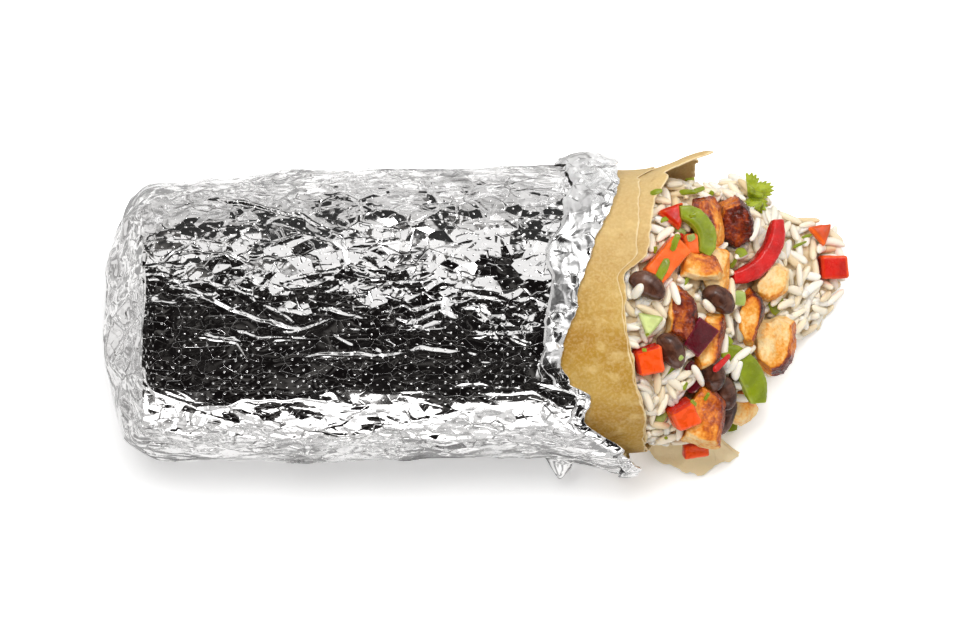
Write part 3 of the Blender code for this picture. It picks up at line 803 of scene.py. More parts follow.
def flat_facets(group, given):
    """The height of small flat facets, each tilted its own way."""
    place = vector(group, "MULTIPLY", own_place(group), given["Stretch"])
    cells = add_node(group, "ShaderNodeTexVoronoi", {"Vector": place, "Scale": given["Scale"]})
    tilt = vector(group, "SUBTRACT", cells.outputs["Color"], (0.5, 0.5, 0.5))
    off = vector(group, "SUBTRACT", place, cells.outputs["Position"])
    return dot_product(group, tilt, off)


# Inputs of the foil's node groups: (name, type, default). The higher Rare is, the fewer lines are left.
DOT_INPUTS = (("Map", "Vector", None), ("Spacing", "Float", 0.0031), ("Radius", "Float", 0.00030))
CREASE_INPUTS = (
    ("Scale", "Float", 200.0),
    ("Width", "Float", 0.05),
    ("Stretch", "Vector", (0.5, 1, 1)),
    ("Rare", "Float", 0.0),
)
FACET_INPUTS = (("Scale", "Float", 300.0), ("Stretch", "Vector", (0.6, 1, 1)))


def foil_material(settings):
    """Foil: polished outside, dull where turned back, with embossed dots and fine drawn wrinkles, along whose
    lines the colour is darkened as painted shade.
    """
    made, tree, shader = shade("foil", settings.foil_roughness, 1.0)
    dull = attribute(tree, "dull")
    tint = blend(tree, dull, settings.foil_colour, settings.dull_colour)
    plain = attribute(tree, "plain")
    rare = maths(tree, "MULTIPLY", plain, 0.075)
    net = node_group("Fine creases", CREASE_INPUTS, "Lines", fine_creases)
    long_lines = use_group(tree, net, Scale=95.0, Width=0.030, Stretch=(0.40, 1, 1), Rare=rare)
    short_lines = use_group(tree, net, Scale=230.0, Width=0.045, Stretch=(0.70, 1, 1), Rare=rare)
    rough_part = maths(tree, "MULTIPLY_ADD", attribute(tree, "calm"), -0.88, 1.0)
    lines = maths(tree, "MULTIPLY", maths(tree, "MAXIMUM", long_lines, short_lines), rough_part)
    # Painted shade: the foil's colour is darkened along the fine crease lines, standing in for the shade and
    # dark reflections in its creases.
    drawn = maths(tree, "MULTIPLY", lines, maths(tree, "MULTIPLY_ADD", plain, 0.30, 0.72), clamp=True)
    tint = blend(tree, drawn, tint, (0.14, 0.135, 0.13))
    tree.links.new(tint, shader.inputs["Base Color"])
    mapped = add_node(tree, "ShaderNodeUVMap", uv_map="UVMap").outputs[0]
    dots = use_group(tree, node_group("Embossed dots", DOT_INPUTS, "Height", embossed_dots), Map=mapped)
    worn = maths(tree, "MULTIPLY_ADD", speckle(tree, 170, 3), 2.6, -0.80, clamp=True)
    dots = maths(tree, "MULTIPLY", maths(tree, "MULTIPLY", dots, worn), attribute(tree, "embossed"))
    planes = node_group("Flat facets", FACET_INPUTS, "Height", flat_facets)
    planes = use_group(tree, planes, Scale=330.0, Stretch=(0.6, 1, 1))
    faceted = maths(tree, "MULTIPLY_ADD", plain, -0.42, 0.42)
    planes = maths(tree, "MULTIPLY", planes, maths(tree, "MULTIPLY", rough_part, faceted))
    height = maths(tree, "ADD", maths(tree, "MULTIPLY", dots, 0.00013), planes)
    height = maths(tree, "ADD", height, maths(tree, "MULTIPLY", lines, -0.00012))
    bumped(tree, shader, height, 1.0)
    cloudy = eased(tree, speckle(tree, 110, 3), 0.35, 0.68)
    rougher = settings.dull_roughness - settings.foil_roughness
    low = maths(tree, "MULTIPLY_ADD", dull, rougher, settings.foil_roughness)
    rough = maths(tree, "MULTIPLY", low, maths(tree, "MULTIPLY_ADD", cloudy, 0.7, 0.7))
    tree.links.new(rough, shader.inputs["Roughness"])
    return made


class BURRITO_foil_settings(bpy.types.PropertyGroup):
    """Settings of the foil."""

    foil_colour: FloatVectorProperty(
        name="Foil colour",
        description="Tint of the polished side",
        subtype="COLOR",
        default=(0.89, 0.88, 0.875),
        min=0,
        max=1,
    )
    dull_colour: FloatVectorProperty(
        name="Dull side colour",
        description="Tint of the dull side",
        subtype="COLOR",
        default=(0.93, 0.925, 0.92),
        min=0,
        max=1,
    )
    foil_roughness: FloatProperty(
        name="Foil roughness",
        description="How blurred its reflections are",
        default=0.085,
        min=0,
        max=1,
    )
    dull_roughness: FloatProperty(
        name="Dull side roughness",
        description="The same, where the foil is turned back",
        default=0.30,
        min=0,
        max=1,
    )


class BURRITO_OT_foil(bpy.types.Operator):
    """Wrap the body in crumpled foil with a turned-back, torn cuff."""

    bl_idname = "burrito.foil"
    bl_label = "Foil"

    def execute(self, context):
        finish = foil_material(context.scene.burrito_foil)
        for made in (*foil_body(), foil_cuff()):
            place_piece(made, finish, "foil", "foil_wrap")
        return {"FINISHED"}


# ---------------------------------------------------------------- tortilla

TORTILLA_INSET = 0.0017
TORTILLA_START = 0.118  # x from which it is modelled: the foil hides the rest
SHEET = 0.0009  # thickness of one layer
TORTILLA_TONES = (
    (0.30, (0.38, 0.190, 0.022)),
    (0.48, (0.45, 0.252, 0.036)),
    (0.66, (0.56, 0.360, 0.092)),
)


def tortilla_sheet(name, inset, layer):
    """One rolled layer of the tortilla, from under the foil to its torn edge and back inside."""
    columns, rows = 580, 84
    angles = np.arange(columns) * 360 / columns
    ring = skin(0.15, angles)
    ragged = 1 + 2.2 * (1 - smooth((np.abs(turned(angles, 8)) - 12) / 8))
    torn = 0.0004 * noise(ring, 0.0060, 201 + layer) + 0.0004 * facets(ring, 0.0020, 205 + layer)
    rim = along(TORTILLA_RIM, angles, 1)
    reach = rim - (along(TORTILLA_RIM, angles, 3) if layer else 0) + torn * ragged
    share = np.linspace(0, 1, rows)[:, None] ** 0.8
    x = mixed(TORTILLA_START, reach, share)
    flare = along(TORTILLA_RIM, angles, 2) * smooth((x - TORTILLA_FLARE) / (rim - TORTILLA_FLARE)) ** 2
    thinned = 0.80 if layer else 0.45
    outside = skin(x, angles[None, :], inset + layer * 0.62 * SHEET * share**5, 1.0, flare)
    inside = skin(x, angles[None, :], inset + SHEET * mixed(1, thinned, share**5), 1.0, flare)
    normal = grid_normals(outside)
    folds = tortilla_relief(outside, share, layer)
    outside = outside + normal * folds[..., None]
    inside = inside + normal * folds[..., None]
    points = np.concatenate([outside, inside[::-1]])
    points[..., 2] = np.clip(points[..., 2], 0.0002, CEILING)
    edge = share + 0 * x
    edge = np.concatenate([edge, edge[::-1], edge[:1]])
    return rolled_sheet(name, np.concatenate([points, points[:1]]), edge=edge)


def tortilla_relief(points, share, layer):
    """Folds that run into the mouth, soft lumps of the filling, and blisters."""
    seed = 210 + 10 * layer
    folds = noise(points, (0.030, 0.0090, 0.0090), 210) * 0.00034
    folds += noise(points, (0.012, 0.0040, 0.0040), 211) * 0.00016 * smooth(share * 1.4)
    lumps = noise(points, 0.016, 212) * 0.0004
    blisters = np.maximum(0, noise(points, 0.0030, seed) - 0.30) * 0.00028
    return (folds + lumps + blisters) * smooth(share * 3)


def tortilla_material():
    """Flour tortilla: tan, with paler blisters, browned spots and a cream torn edge, and painted light: paler
    towards +Y and on the lip by the table.
    """
    made, tree, shader = shade("tortilla", 0.62, 0.0, 0.3, 0.12)
    toned = ramp(tree, speckle(tree, 62, 2, (0.55, 1, 1)), *TORTILLA_TONES)
    place = add_node(tree, "ShaderNodeSeparateXYZ", {0: own_place(tree)})
    # Painted light: the tortilla is made paler towards +Y, the side the lamps stand on.
    painted_lit_side = eased(tree, place.outputs["Y"], -0.012, 0.038)
    toned = tinted(tree, toned, painted_lit_side, 0.74, (0.67, 0.48, 0.225))
    pale = eased(tree, speckle(tree, 230, 3, (0.7, 1, 1), 0.4), 0.50, 0.72)
    toned = tinted(tree, toned, pale, 0.50, (0.72, 0.52, 0.22))
    spots = eased(tree, speckle(tree, 300), 0.63, 0.72)
    toned = tinted(tree, toned, spots, 0.40, (0.42, 0.20, 0.035))
    flecks = eased(tree, speckle(tree, 1300), 0.40, 0.66)
    toned = tinted(tree, toned, flecks, 0.20, (0.80, 0.64, 0.34))
    edge = maths(tree, "ADD", attribute(tree, "edge"), maths(tree, "MULTIPLY", pale, 0.010))
    toned = tinted(tree, toned, eased(tree, edge, 0.982, 1.0), 0.60, (0.90, 0.75, 0.48))
    # Painted light: the parts low by the table, above all the lip, are made much paler to lift them out of
    # the burrito's shadow.
    low = eased(tree, place.outputs["Z"], 0.008, 0.018, 1.0, 0.0)
    toned = tinted(tree, toned, low, 0.95, (1.0, 0.81, 0.50))
    food_surface(tree, shader, toned, None, 620.0, 0.00020)
    return made


# The lip on the table: (x, y of its outer edge, y of its inner edge)
LIP = (
    (0.1500, -0.0372, -0.0280),
    (0.1528, -0.0385, -0.0285),
    (0.1548, -0.0418, -0.0290),
    (0.1585, -0.0436, -0.0295),
    (0.1640, -0.0462, -0.0300),
    (0.1672, -0.0472, -0.0310),
    (0.1700, -0.0452, -0.0330),
    (0.1722, -0.0440, -0.0352),
    (0.1766, -0.0424, -0.0392),
    (0.1784, -0.0412, -0.0404),
)


def tortilla_lip():
    """The end of the lower layer, torn off square and lying out on the table."""
    unselect()
    bpy.ops.mesh.primitive_grid_add(x_subdivisions=150, y_subdivisions=60, size=1)
    made = name_it(bpy.context.object, "tortilla_lip")
    plan = get_points(made) + 0.5
    rows = np.array(LIP)
    x = mixed(rows[0, 0], rows[-1, 0], plan[:, 0])
    outer = np.interp(x, rows[:, 0], rows[:, 1])
    inner = np.interp(x, rows[:, 0], rows[:, 2])
    run = np.stack([x, 0 * x, 0 * x], -1)
    outer = outer + 0.0007 * facets(run, 0.0034, 231) + 0.0005 * facets(run, 0.0013, 233)
    end = np.stack([x, plan[:, 1] * 0.01, 0 * x], -1)
    x = x + 0.0008 * noise(end, 0.003, 235) * smooth((x - 0.165) / 0.01)
    y = mixed(outer, inner, plan[:, 1])
    z = 0.0016 + 0.0075 * plan[:, 1] ** 1.6
    points = np.stack([x, y, z], -1)
    points[:, 2] += 0.0009 * noise(points, 0.009, 237) + 0.0004 * noise(points, 0.0035, 239)
    set_points(made, points + HOME)
    modify(made, "SOLIDIFY", thickness=0.0010, offset=0)
    made.data.shade_smooth()
    points = get_points(made)
    points[:, 2] = np.maximum(points[:, 2], 0.0002)
    set_points(made, points)
    mark(made, "edge", 0.95 + 0 * points[:, 0])
    return made


class BURRITO_OT_tortilla(bpy.types.Operator):
    """Roll the tortilla: two thin layers with a torn mouth, a ribbon of edge and a lip on the table."""

    bl_idname = "burrito.tortilla"
    bl_label = "Tortilla"

    def execute(self, context):
        finish = tortilla_material()
        inner = tortilla_sheet("tortilla_inner", TORTILLA_INSET + SHEET, 0)
        outer = tortilla_sheet("tortilla_outer", TORTILLA_INSET - 0.0001, 1)
        for made in (inner, outer, tortilla_lip()):
            place_piece(made, finish, "tortilla", "tortilla")
        return {"FINISHED"}


# ---------------------------------------------------------------- pieces in the rice


VOXEL = 0.00026  # of the finely meshed pieces


def solid_copy(node, name, voxel, smoothing):
    """A finely meshed copy of a CAD solid, with its edges softened."""
    made = bpy.data.objects.new(name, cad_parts[node].data.copy())
    made.data.name = name
    bpy.context.collection.objects.link(made)
    modify(made, "WELD", merge_threshold=1e-6)
    modify(made, "REMESH", mode="VOXEL", voxel_size=voxel)
    modify(made, "SMOOTH", iterations=smoothing, factor=0.6)
    made.data.shade_smooth()
    return made


def own_frame(points):
    """The middle of a piece, and its axes from longest to shortest."""
    middle = (points.min(0) + points.max(0)) / 2
    some = (points - points.mean(0))[:: max(1, len(points) // 2000)]
    _, _, axes = np.linalg.svd(some, full_matrices=False)
    return middle, axes


def edge_bulge(made, reach):
    """How sharply the surface turns outwards at each vertex, averaged over this reach: 0 on flat faces."""
    points, normals = get_points(made), get_normals(made)
    edges = np.empty(len(made.data.edges) * 2, dtype=np.int64)
    made.data.edges.foreach_get("vertices", edges)
    edges = edges.reshape(-1, 2)
    ways = points[edges[:, 1]] - points[edges[:, 0]]
    lengths = np.linalg.norm(ways, axis=-1)
    bend = np.einsum("ij,ij->i", normals[edges[:, 1]] - normals[edges[:, 0]], ways)
    bend = bend / np.maximum(lengths, 1e-9) ** 2
    meeting = np.maximum(np.bincount(edges.ravel(), minlength=len(points)), 1)
    value = np.bincount(edges.ravel(), np.repeat(bend, 2), len(points)) / meeting
    for _ in range(int(reach / VOXEL)):
        spread = np.bincount(edges[:, 0], value[edges[:, 1]], len(points))
        spread += np.bincount(edges[:, 1], value[edges[:, 0]], len(points))
        value = 0.3 * value + 0.7 * spread / meeting
    return value


# For each chunk: its outline from above, in millimetres from its middle; the share to which its top is drawn
# in; and how far the top leans in x and y, in millimetres
CHUNKS = {
    "chicken_seared_corner": (
        ((-4.2, 6.7), (1.8, 7.4), (3.5, 3.2), (4.6, -1.5), (3.9, -5.8),
         (1.8, -7.4), (-1.9, -5.4), (-4.6, -0.4)),
        0.76,
        (-1.2, 0.3),
    ),
    "chicken_charred_cube": (
        ((0.2, 7.3), (3.7, 4.2), (5.8, -2.4), (4.5, -4.3), (-0.6, -7.3),
         (-4.9, -4.3), (-5.8, 1.1), (-4.3, 4.6)),
        0.80,
        (0.8, -0.4),
    ),
    "chicken_golden_slice": (
        ((-4.0, 4.1), (0.4, 3.9), (3.7, 1.8), (5.8, -2.1), (4.7, -3.9),
         (-1.5, -4.1), (-5.8, -3.1), (-5.8, 0.6)),
        0.78,
        (-0.4, 0.5),
    ),
    "chicken_pale_slab": (
        ((-3.5, 5.5), (-0.4, 7.6), (3.8, 4.7), (3.9, -3.1), (2.3, -7.6), (-2.4, -5.1), (-3.9, 0.8)),
        0.86,
        (-0.5, 0.0),
    ),
    "chicken_dark_strip": (
        ((-3.7, 6.6), (-0.6, 8.0), (2.8, 5.3), (4.1, 1.8), (4.1, -4.1),
         (1.8, -8.0), (-3.6, -6.4), (-4.1, 0.6)),
        0.76,
        (0.6, 0.0),
    ),
    "chicken_pale_chip": (
        ((-4.8, -1.4), (-0.9, 4.1), (2.2, 5.5), (4.8, 3.3), (4.6, -1.8),
         (1.5, -4.5), (-0.9, -5.5), (-4.4, -3.3)),
        0.78,
        (0.0, 0.5),
    ),
    "chicken_crusted_strip": (
        ((-2.2, 7.2), (0.0, 8.2), (3.1, 6.2), (3.7, 3.2), (2.9, -1.4), (1.6, -5.0), (0.6, -8.0), (-2.2, -7.0),
         (-3.7, -2.7), (-2.8, 2.7)),
        0.74,
        (-0.4, 0.0),
    ),
    "chicken_round_chunk": (
        ((-6.3, 3.1), (-3.7, 6.8), (1.6, 8.4), (5.3, 6.8), (6.3, 1.6), (5.3, -3.7), (2.6, -7.3), (-0.5, -8.0),
         (-3.8, -5.3), (-5.8, -1.0)),
        0.78,
        (-0.8, 0.8),
    ),
    "chicken_ribbed_strip": (
        ((-0.9, 8.0), (4.0, 8.0), (4.2, 3.5), (3.2, -1.9), (0.6, -7.0),
         (-2.5, -8.0), (-4.2, -4.7), (-3.3, 2.7)),
        0.74,
        (-0.6, 0.0),
    ),
    "chicken_long_chunk": (
        ((-0.2, 8.8), (3.3, 7.8), (6.2, 3.9), (6.4, -0.8), (4.9, -9.0),
         (-0.8, -9.3), (-6.0, -7.0), (-5.0, -2.3), (-3.4, 4.2)),
        0.76,
        (-0.5, 0.5),
    ),
    "red_onion_layer": (
        ((-0.6, 5.8), (4.9, 1.6), (-0.8, -5.9), (-4.9, -2.4)),
        0.94,
        (0.2, 0.2),
    ),
    "chicken_torn_chip": (
        ((-3.9, 3.6), (-0.0, 5.0), (2.7, 4.8), (4.7, 0.1), (3.5, -3.4),
         (0.7, -5.0), (-3.9, -3.6), (-4.7, 0.1)),
        0.76,
        (0.0, 0.6),
    ),
}
# How each is browned: (tone of its top, roughness of its surface, then for two sides the direction in plan in
# degrees and the tone added there). Tone 0 is pale flesh, 1 is char.
BROWNING = {
    "chicken_seared_corner": (0.66, 0.8, (-20, -0.26), (-140, -0.20)),
    "chicken_charred_cube": (0.80, 1.2, (140, -0.36), (-60, 0.08)),
    "chicken_golden_slice": (0.30, 0.7, (25, 0.26), (-90, -0.26)),
    "chicken_pale_slab": (0.02, 0.2, (-15, 0.30), (90, 0.04)),
    "chicken_dark_strip": (0.72, 1.0, (165, -0.62), (-80, 0.0)),
    "chicken_pale_chip": (0.03, 0.9, (-80, 0.26), (60, -0.02)),
    "chicken_crusted_strip": (0.34, 1.1, (15, 0.52), (90, 0.28)),
    "chicken_round_chunk": (0.07, 1.0, (-30, 0.52), (-100, 0.30)),
    "chicken_ribbed_strip": (0.26, 1.0, (0, 0.46), (180, 0.20)),
    "chicken_long_chunk": (0.42, 0.9, (5, 0.30), (-95, -0.24)),
    "chicken_torn_chip": (0.12, 1.0, (80, 0.34), (-90, -0.06)),
}
CHICKEN_TONES = (
    (0.00, (0.92, 0.68, 0.35)),
    (0.16, (0.92, 0.57, 0.21)),
    (0.32, (0.84, 0.34, 0.038)),
    (0.48, (0.66, 0.17, 0.008)),
    (0.64, (0.36, 0.062, 0.006)),
    (0.80, (0.17, 0.018, 0.006)),
    (1.00, (0.030, 0.006, 0.003)),
)


def chunk(node, name, smoothing=6):
    """A chunk in its CAD solid's place and size: slanting sides round a top that lies as the solid's does."""
    outline, drawn_in, lean = CHUNKS[node]
    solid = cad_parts[node].data
    low, high = (np.array(corner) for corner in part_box(node))
    normals = np.array([face.normal[:] for face in solid.polygons])
    middles = np.array([face.center[:] for face in solid.polygons])
    areas = np.array([face.area for face in solid.polygons]) * (normals[:, 2] > 0.4)
    slope = (normals * areas[:, None]).sum(0)
    slope = -slope[:2] / slope[2]
    middle = (low + high) / 2
    peak = (middles[:, 2] - (middles[:, :2] - middle[:2]) @ slope) @ areas / areas.sum()
    plan = np.array(outline) / 1000
    plan *= np.minimum(1, (high - low)[:2] / np.ptp(plan, axis=0)) * 1.05
    plan += middle[:2] - (plan.max(0) + plan.min(0)) / 2
    unselect()
    bpy.ops.mesh.primitive_circle_add(vertices=len(plan), radius=0.01, fill_type="NGON")
    made = name_it(bpy.context.object, name)
    set_points(made, np.column_stack([plan, np.full(len(plan), low[2])]))
    bpy.ops.object.mode_set(mode="EDIT")
    bpy.ops.mesh.select_all(action="SELECT")
    step = 0.001
    for _ in range(3):
        bpy.ops.mesh.extrude_region_move(TRANSFORM_OT_translate={"value": (0, 0, step)})
    bpy.ops.mesh.select_all(action="SELECT")
    bpy.ops.mesh.normals_make_consistent(inside=False)
    bpy.ops.object.mode_set(mode="OBJECT")
    points = get_points(made)
    level = np.round((points[:, 2] - low[2]) / step).astype(int)
    scale = np.array((0.84, 1.0, 0.35 + 0.65 * drawn_in, drawn_in))[level]
    rise = np.array((0.0, 0.35, 0.88, 1.0))[level]
    shift = np.array(lean) / 1000 * np.array((0, 0, 0.5, 1.0))[level, None]
    flat = middle[:2] + (points[:, :2] - middle[:2]) * scale[:, None] + shift
    top = peak + (flat - middle[:2]) @ slope
    set_points(made, np.column_stack([flat, mixed(low[2], np.minimum(top, high[2] - 0.0002), rise)]))
    modify(made, "REMESH", mode="VOXEL", voxel_size=VOXEL)
    modify(made, "SMOOTH", iterations=smoothing, factor=0.6)
    made.data.shade_smooth()
    return made


def chicken(node, number):
    """A chunk of grilled chicken: fibres along it, browned skin, and darker edges."""
    top, rough, *sides = BROWNING[node]
    made = chunk(node, node.replace("chicken", "chunk"))
    points, normals = get_points(made), get_normals(made)
    middle, axes = own_frame(points)
    local = (points - middle) @ axes.T
    bulge = edge_bulge(made, 0.0006)
    seed = 300 + 12 * number
    warp = np.stack([noise(points, 0.0065, seed + axis) for axis in (20, 21, 22)], -1)
    warp += 0.5 * np.stack([noise(points, 0.0030, seed + axis) for axis in (30, 31, 32)], -1)
    moved = points + warp * 0.0007
    relief = noise(points, 0.0036, seed) * 0.00030 + noise(points, 0.0019, seed + 1) * 0.00016
    fibres = noise(local, (0.0038, 0.00085, 0.00095), seed + 2)
    fibres += 0.6 * noise(local, (0.0020, 0.0005, 0.0006), seed + 3)
    pits = np.minimum(0, noise(points, 0.0011, seed + 4) + 0.25)
    crust = noise(points, 0.00062, seed + 5)
    tears = np.minimum(0, noise(local, (0.0060, 0.0012, 0.0030), seed + 6) + 0.45)
    tone = top + 0.15 * noise(points, 0.0042, seed + 7)
    tone += 0.08 * noise(local, (0.0034, 0.0013, 0.0013), seed + 8)
    half = (points.max(0) - points.min(0))[:2] / 2
    for side, gain in sides:
        aim = np.array((math.cos(math.radians(side)), math.sin(math.radians(side))))
        reach = ((points[:, :2] - middle[:2]) / half) @ aim
        tone += gain * smooth(0.30 + 0.75 * (normals[:, :2] @ aim) + 0.45 * (reach - 0.55))
    tone += 0.05 * crust + 0.06 * fibres + np.clip(bulge / 2600, -0.05, 0.09) * (0.3 + top)
    seared = smooth((tone - 0.35) / 0.3)
    relief += fibres * 0.00011 * (1.2 - 0.8 * seared) + pits * 0.00016 * rough * (0.5 + 0.7 * seared)
    relief += crust * 0.00011 * rough * (0.3 + seared) + tears * 0.00042 * rough * (1 - 0.7 * seared)
    set_points(made, moved + normals * relief[:, None])
    mark(made, "tone", np.clip(tone, 0, 1))
    return made


def chicken_material():
    """Grilled chicken: pale flesh through golden brown to char, by the tone marked on it."""
    made, tree, shader = shade("grilled_chicken", 0.38, 0.0, 0.5, 0.08)
    tone = attribute(tree, "tone")
    fleck = maths(tree, "MULTIPLY_ADD", speckle(tree, 1300, 3), 0.40, -0.20)
    streak = maths(tree, "MULTIPLY_ADD", speckle(tree, 420, distortion=1.2), 0.40, -0.20)
    toned = maths(tree, "ADD", maths(tree, "ADD", tone, fleck), streak, clamp=True)
    colour = ramp(tree, toned, *CHICKEN_TONES)
    rough = maths(tree, "MULTIPLY_ADD", speckle(tree, 900), 0.5, eased(tree, toned, 0.2, 0.8, 0.30, 0.05))
    food_surface(tree, shader, colour, rough, 1100.0, 0.00022)
    return made


class BURRITO_OT_chicken(bpy.types.Operator):
    """Model the grilled chicken, a browned and fibrous chunk for each solid."""

    bl_idname = "burrito.chicken"
    bl_label = "Chicken"

    def execute(self, context):
        finish = chicken_material()
        for number, node in enumerate(BROWNING):
            place_piece(chicken(node, number), finish, "chicken", node)
        return {"FINISHED"}


BEAN_TONES = (
    (0.30, (0.030, 0.010, 0.006)),
    (0.52, (0.075, 0.026, 0.014)),
    (0.75, (0.15, 0.062, 0.036)),
)


def bean(node, number):
    """A cooked black bean: plump, a little dented, with a faded patch."""
    made = solid_copy(node, node + "_cooked", 0.00030, 22)
    points, normals = get_points(made), get_normals(made)
    relief = noise(points, 0.0035, 500 + number) * 0.00022 + noise(points, 0.0012, 520 + number) * 0.00003
    set_points(made, points + normals * (relief + 0.00015)[:, None])
    mark(made, "faded", 0.5 + 0.5 * noise(points, 0.0040, 540 + number))
    return made


def bean_material():
    """Black bean: mottled dark brown, faded in patches, with a soft sheen."""
    made, tree, shader = shade("black_bean", 0.30, 0.0, 0.35, 0.0, 0.08)
    mottled = speckle(tree, 420, 3, distortion=0.6)
    faded = eased(tree, attribute(tree, "faded"), 0.45, 0.95)
    colour = tinted(tree, ramp(tree, mottled, *BEAN_TONES), faded, 0.5, (0.19, 0.095, 0.065))
    rough = maths(tree, "MULTIPLY_ADD", mottled, 0.25, 0.15)
    food_surface(tree, shader, colour, rough, 700.0, 0.00005)
    return made


class BURRITO_OT_beans(bpy.types.Operator):
    """Model the black beans."""

    bl_idname = "burrito.beans"
    bl_label = "Beans"

    def execute(self, context):
        finish = bean_material()
        nodes = sorted(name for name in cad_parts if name.startswith("bean_"))
        for number, node in enumerate(nodes):
            place_piece(bean(node, number), finish, "bean", node)
        return {"FINISHED"}


def cut_piece(node, number, skin_side):
    """A cut vegetable: smooth, with soft edges and a faint waviness, and its skin on the side given."""
    made = chunk(node, node + "_cut", 2) if node in CHUNKS else solid_copy(node, node + "_cut", 0.00022, 3)
    aim = np.array(skin_side) / np.linalg.norm(skin_side)
    points, normals = get_points(made), get_normals(made)
    relief = noise(points, 0.0030, 600 + number) * 0.00018 + noise(points, 0.0010, 620 + number) * 0.00003
    set_points(made, points + normals * relief[:, None])
    mark(made, "skin", smooth((normals @ aim - 0.35) / 0.35))
    mark(made, "edge", np.clip(edge_bulge(made, 0.0003) / 2500, 0, 1))
    return made


# Cut vegetables: (material, slot, direction in which its skin faces)
VEGETABLES = {
    "tomato_cube_by_the_edge": ("red", "tomato", (-0.8, 0.5, 0.5)),
    "tomato_cube_on_rice": ("red", "tomato", (-0.6, 0.6, 0.6)),
    "tomato_long_piece": ("orange", "tomato", (0.5, 0.5, -0.7)),
    "tomato_under_pepper": ("orange", "tomato", (0.0, 0.6, 0.2)),
    "tomato_on_the_flap": ("red", "tomato", (-0.5, 0.5, 0.7)),
    "tomato_cube_in_the_spill": ("red", "tomato", (-0.6, -0.3, 0.8)),
    "tomato_wedge": ("red", "tomato", (0.3, 0.2, 0.9)),
    "tomato_sliver_in_the_spill": ("orange", "tomato", (0.5, 0.5, 0.5)),
    "red_pepper_strip": ("deep_red", "red_pepper", (-0.4, 0.2, 0.9)),
    "green_chilli_slice": ("pale_green", "green_pepper", (0.7, 0.3, 0.2)),
    "green_pepper_upper": ("green", "green_pepper", (0.3, 0.3, 0.9)),
    "green_pepper_lower": ("green", "green_pepper", (0.4, 0.4, 0.8)),
    "red_onion_layer": ("onion", "red_onion", (0.0, 0.1, 1.0)),
}
# For each: colour of the skin, of the flesh, of cut edges, roughness
VEGETABLE_TONES = {
    "red": ((0.64, 0.008, 0.002), (0.78, 0.070, 0.003), (0.86, 0.17, 0.020), 0.26),
    "orange": ((0.74, 0.075, 0.003), (0.78, 0.110, 0.004), (0.86, 0.20, 0.040), 0.30),
    "deep_red": ((0.62, 0.006, 0.004), (0.46, 0.003, 0.003), (0.82, 0.10, 0.075), 0.22),
    "green": ((0.24, 0.30, 0.004), (0.33, 0.39, 0.020), (0.50, 0.54, 0.12), 0.26),
    "pale_green": ((0.34, 0.43, 0.09), (0.52, 0.58, 0.22), (0.66, 0.70, 0.36), 0.30),
    "onion": ((0.085, 0.001, 0.005), (0.16, 0.003, 0.018), (0.34, 0.012, 0.055), 0.24),
}


def vegetable_material(kind):
    """A vegetable of this kind: flesh, skin on one side, and paler cut edges."""
    skin_tone, flesh, edge_tone, roughness = VEGETABLE_TONES[kind]
    made, tree, shader = shade(kind + "_vegetable", roughness, 0.0, 0.35, 0.12, 0.06)
    mottled = speckle(tree, 360, 3, distortion=0.5)
    lighter = tuple(min(1.0, value * 1.25 + 0.012) for value in flesh)
    colour = blend(tree, eased(tree, mottled, 0.38, 0.66), flesh, lighter)
    darker = tuple(value * 0.72 for value in skin_tone)
    outer = blend(tree, eased(tree, speckle(tree, 240), 0.35, 0.65), darker, skin_tone)
    colour = blend(tree, attribute(tree, "skin"), colour, outer)
    colour = tinted(tree, colour, attribute(tree, "edge"), 0.55, edge_tone)
    pale = eased(tree, speckle(tree, 1400), 0.60, 0.78)
    colour = tinted(tree, colour, pale, 0.18, edge_tone)
    rough = maths(tree, "MULTIPLY_ADD", mottled, 0.3, roughness - 0.12)
    food_surface(tree, shader, colour, rough, 900.0, 0.00009)
    return made


class BURRITO_OT_vegetables(bpy.types.Operator):
    """Model the diced tomato and pepper, the pepper strips and the onion."""

    bl_idname = "burrito.vegetables"
    bl_label = "Vegetables"

    def execute(self, context):
        finishes = {kind: vegetable_material(kind) for kind in VEGETABLE_TONES}
        for number, (node, (kind, slot, side)) in enumerate(VEGETABLES.items()):
            place_piece(cut_piece(node, number, side), finishes[kind], slot, node)
        return {"FINISHED"}


# ---------------------------------------------------------------- rice

GRAIN = (0.0082, 0.0024, 0.0021)  # length, width and thickness of a cooked grain
CORE_DEPTH = 0.0015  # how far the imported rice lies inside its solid
# Layers of grains: (height over the core, least gap between grains, share of the tries, pitch)
RICE_LAYERS = (
    (0.0005, 0.00145, 1.0, 0.14),
    (0.0016, 0.00170, 1.0, 0.30),
    (0.0028, 0.00200, 0.7, 0.45),
)
RICE_TONES = (
    (0.0, (0.76, 0.59, 0.35)),
    (0.35, (0.90, 0.80, 0.62)),
    (1.0, (0.95, 0.90, 0.81)),
)


def world_mesh(objects):
    """One BVH tree of these objects' faces."""
    points, faces = [], []
    for made in objects:
        start = len(points)
        points.extend(vert.co for vert in made.data.vertices)
        faces.extend([start + index for index in face.vertices] for face in made.data.polygons)
    return BVHTree.FromPolygons(points, faces)


def inside(tree, point, margin=0.0):
    """Whether a point is inside the tree's faces, or within the margin of them."""
    near, normal, _, distance = tree.find_nearest(Vector(point))
    if near is None:
        return False
    return distance < margin or (Vector(point) - near).dot(normal) < 0


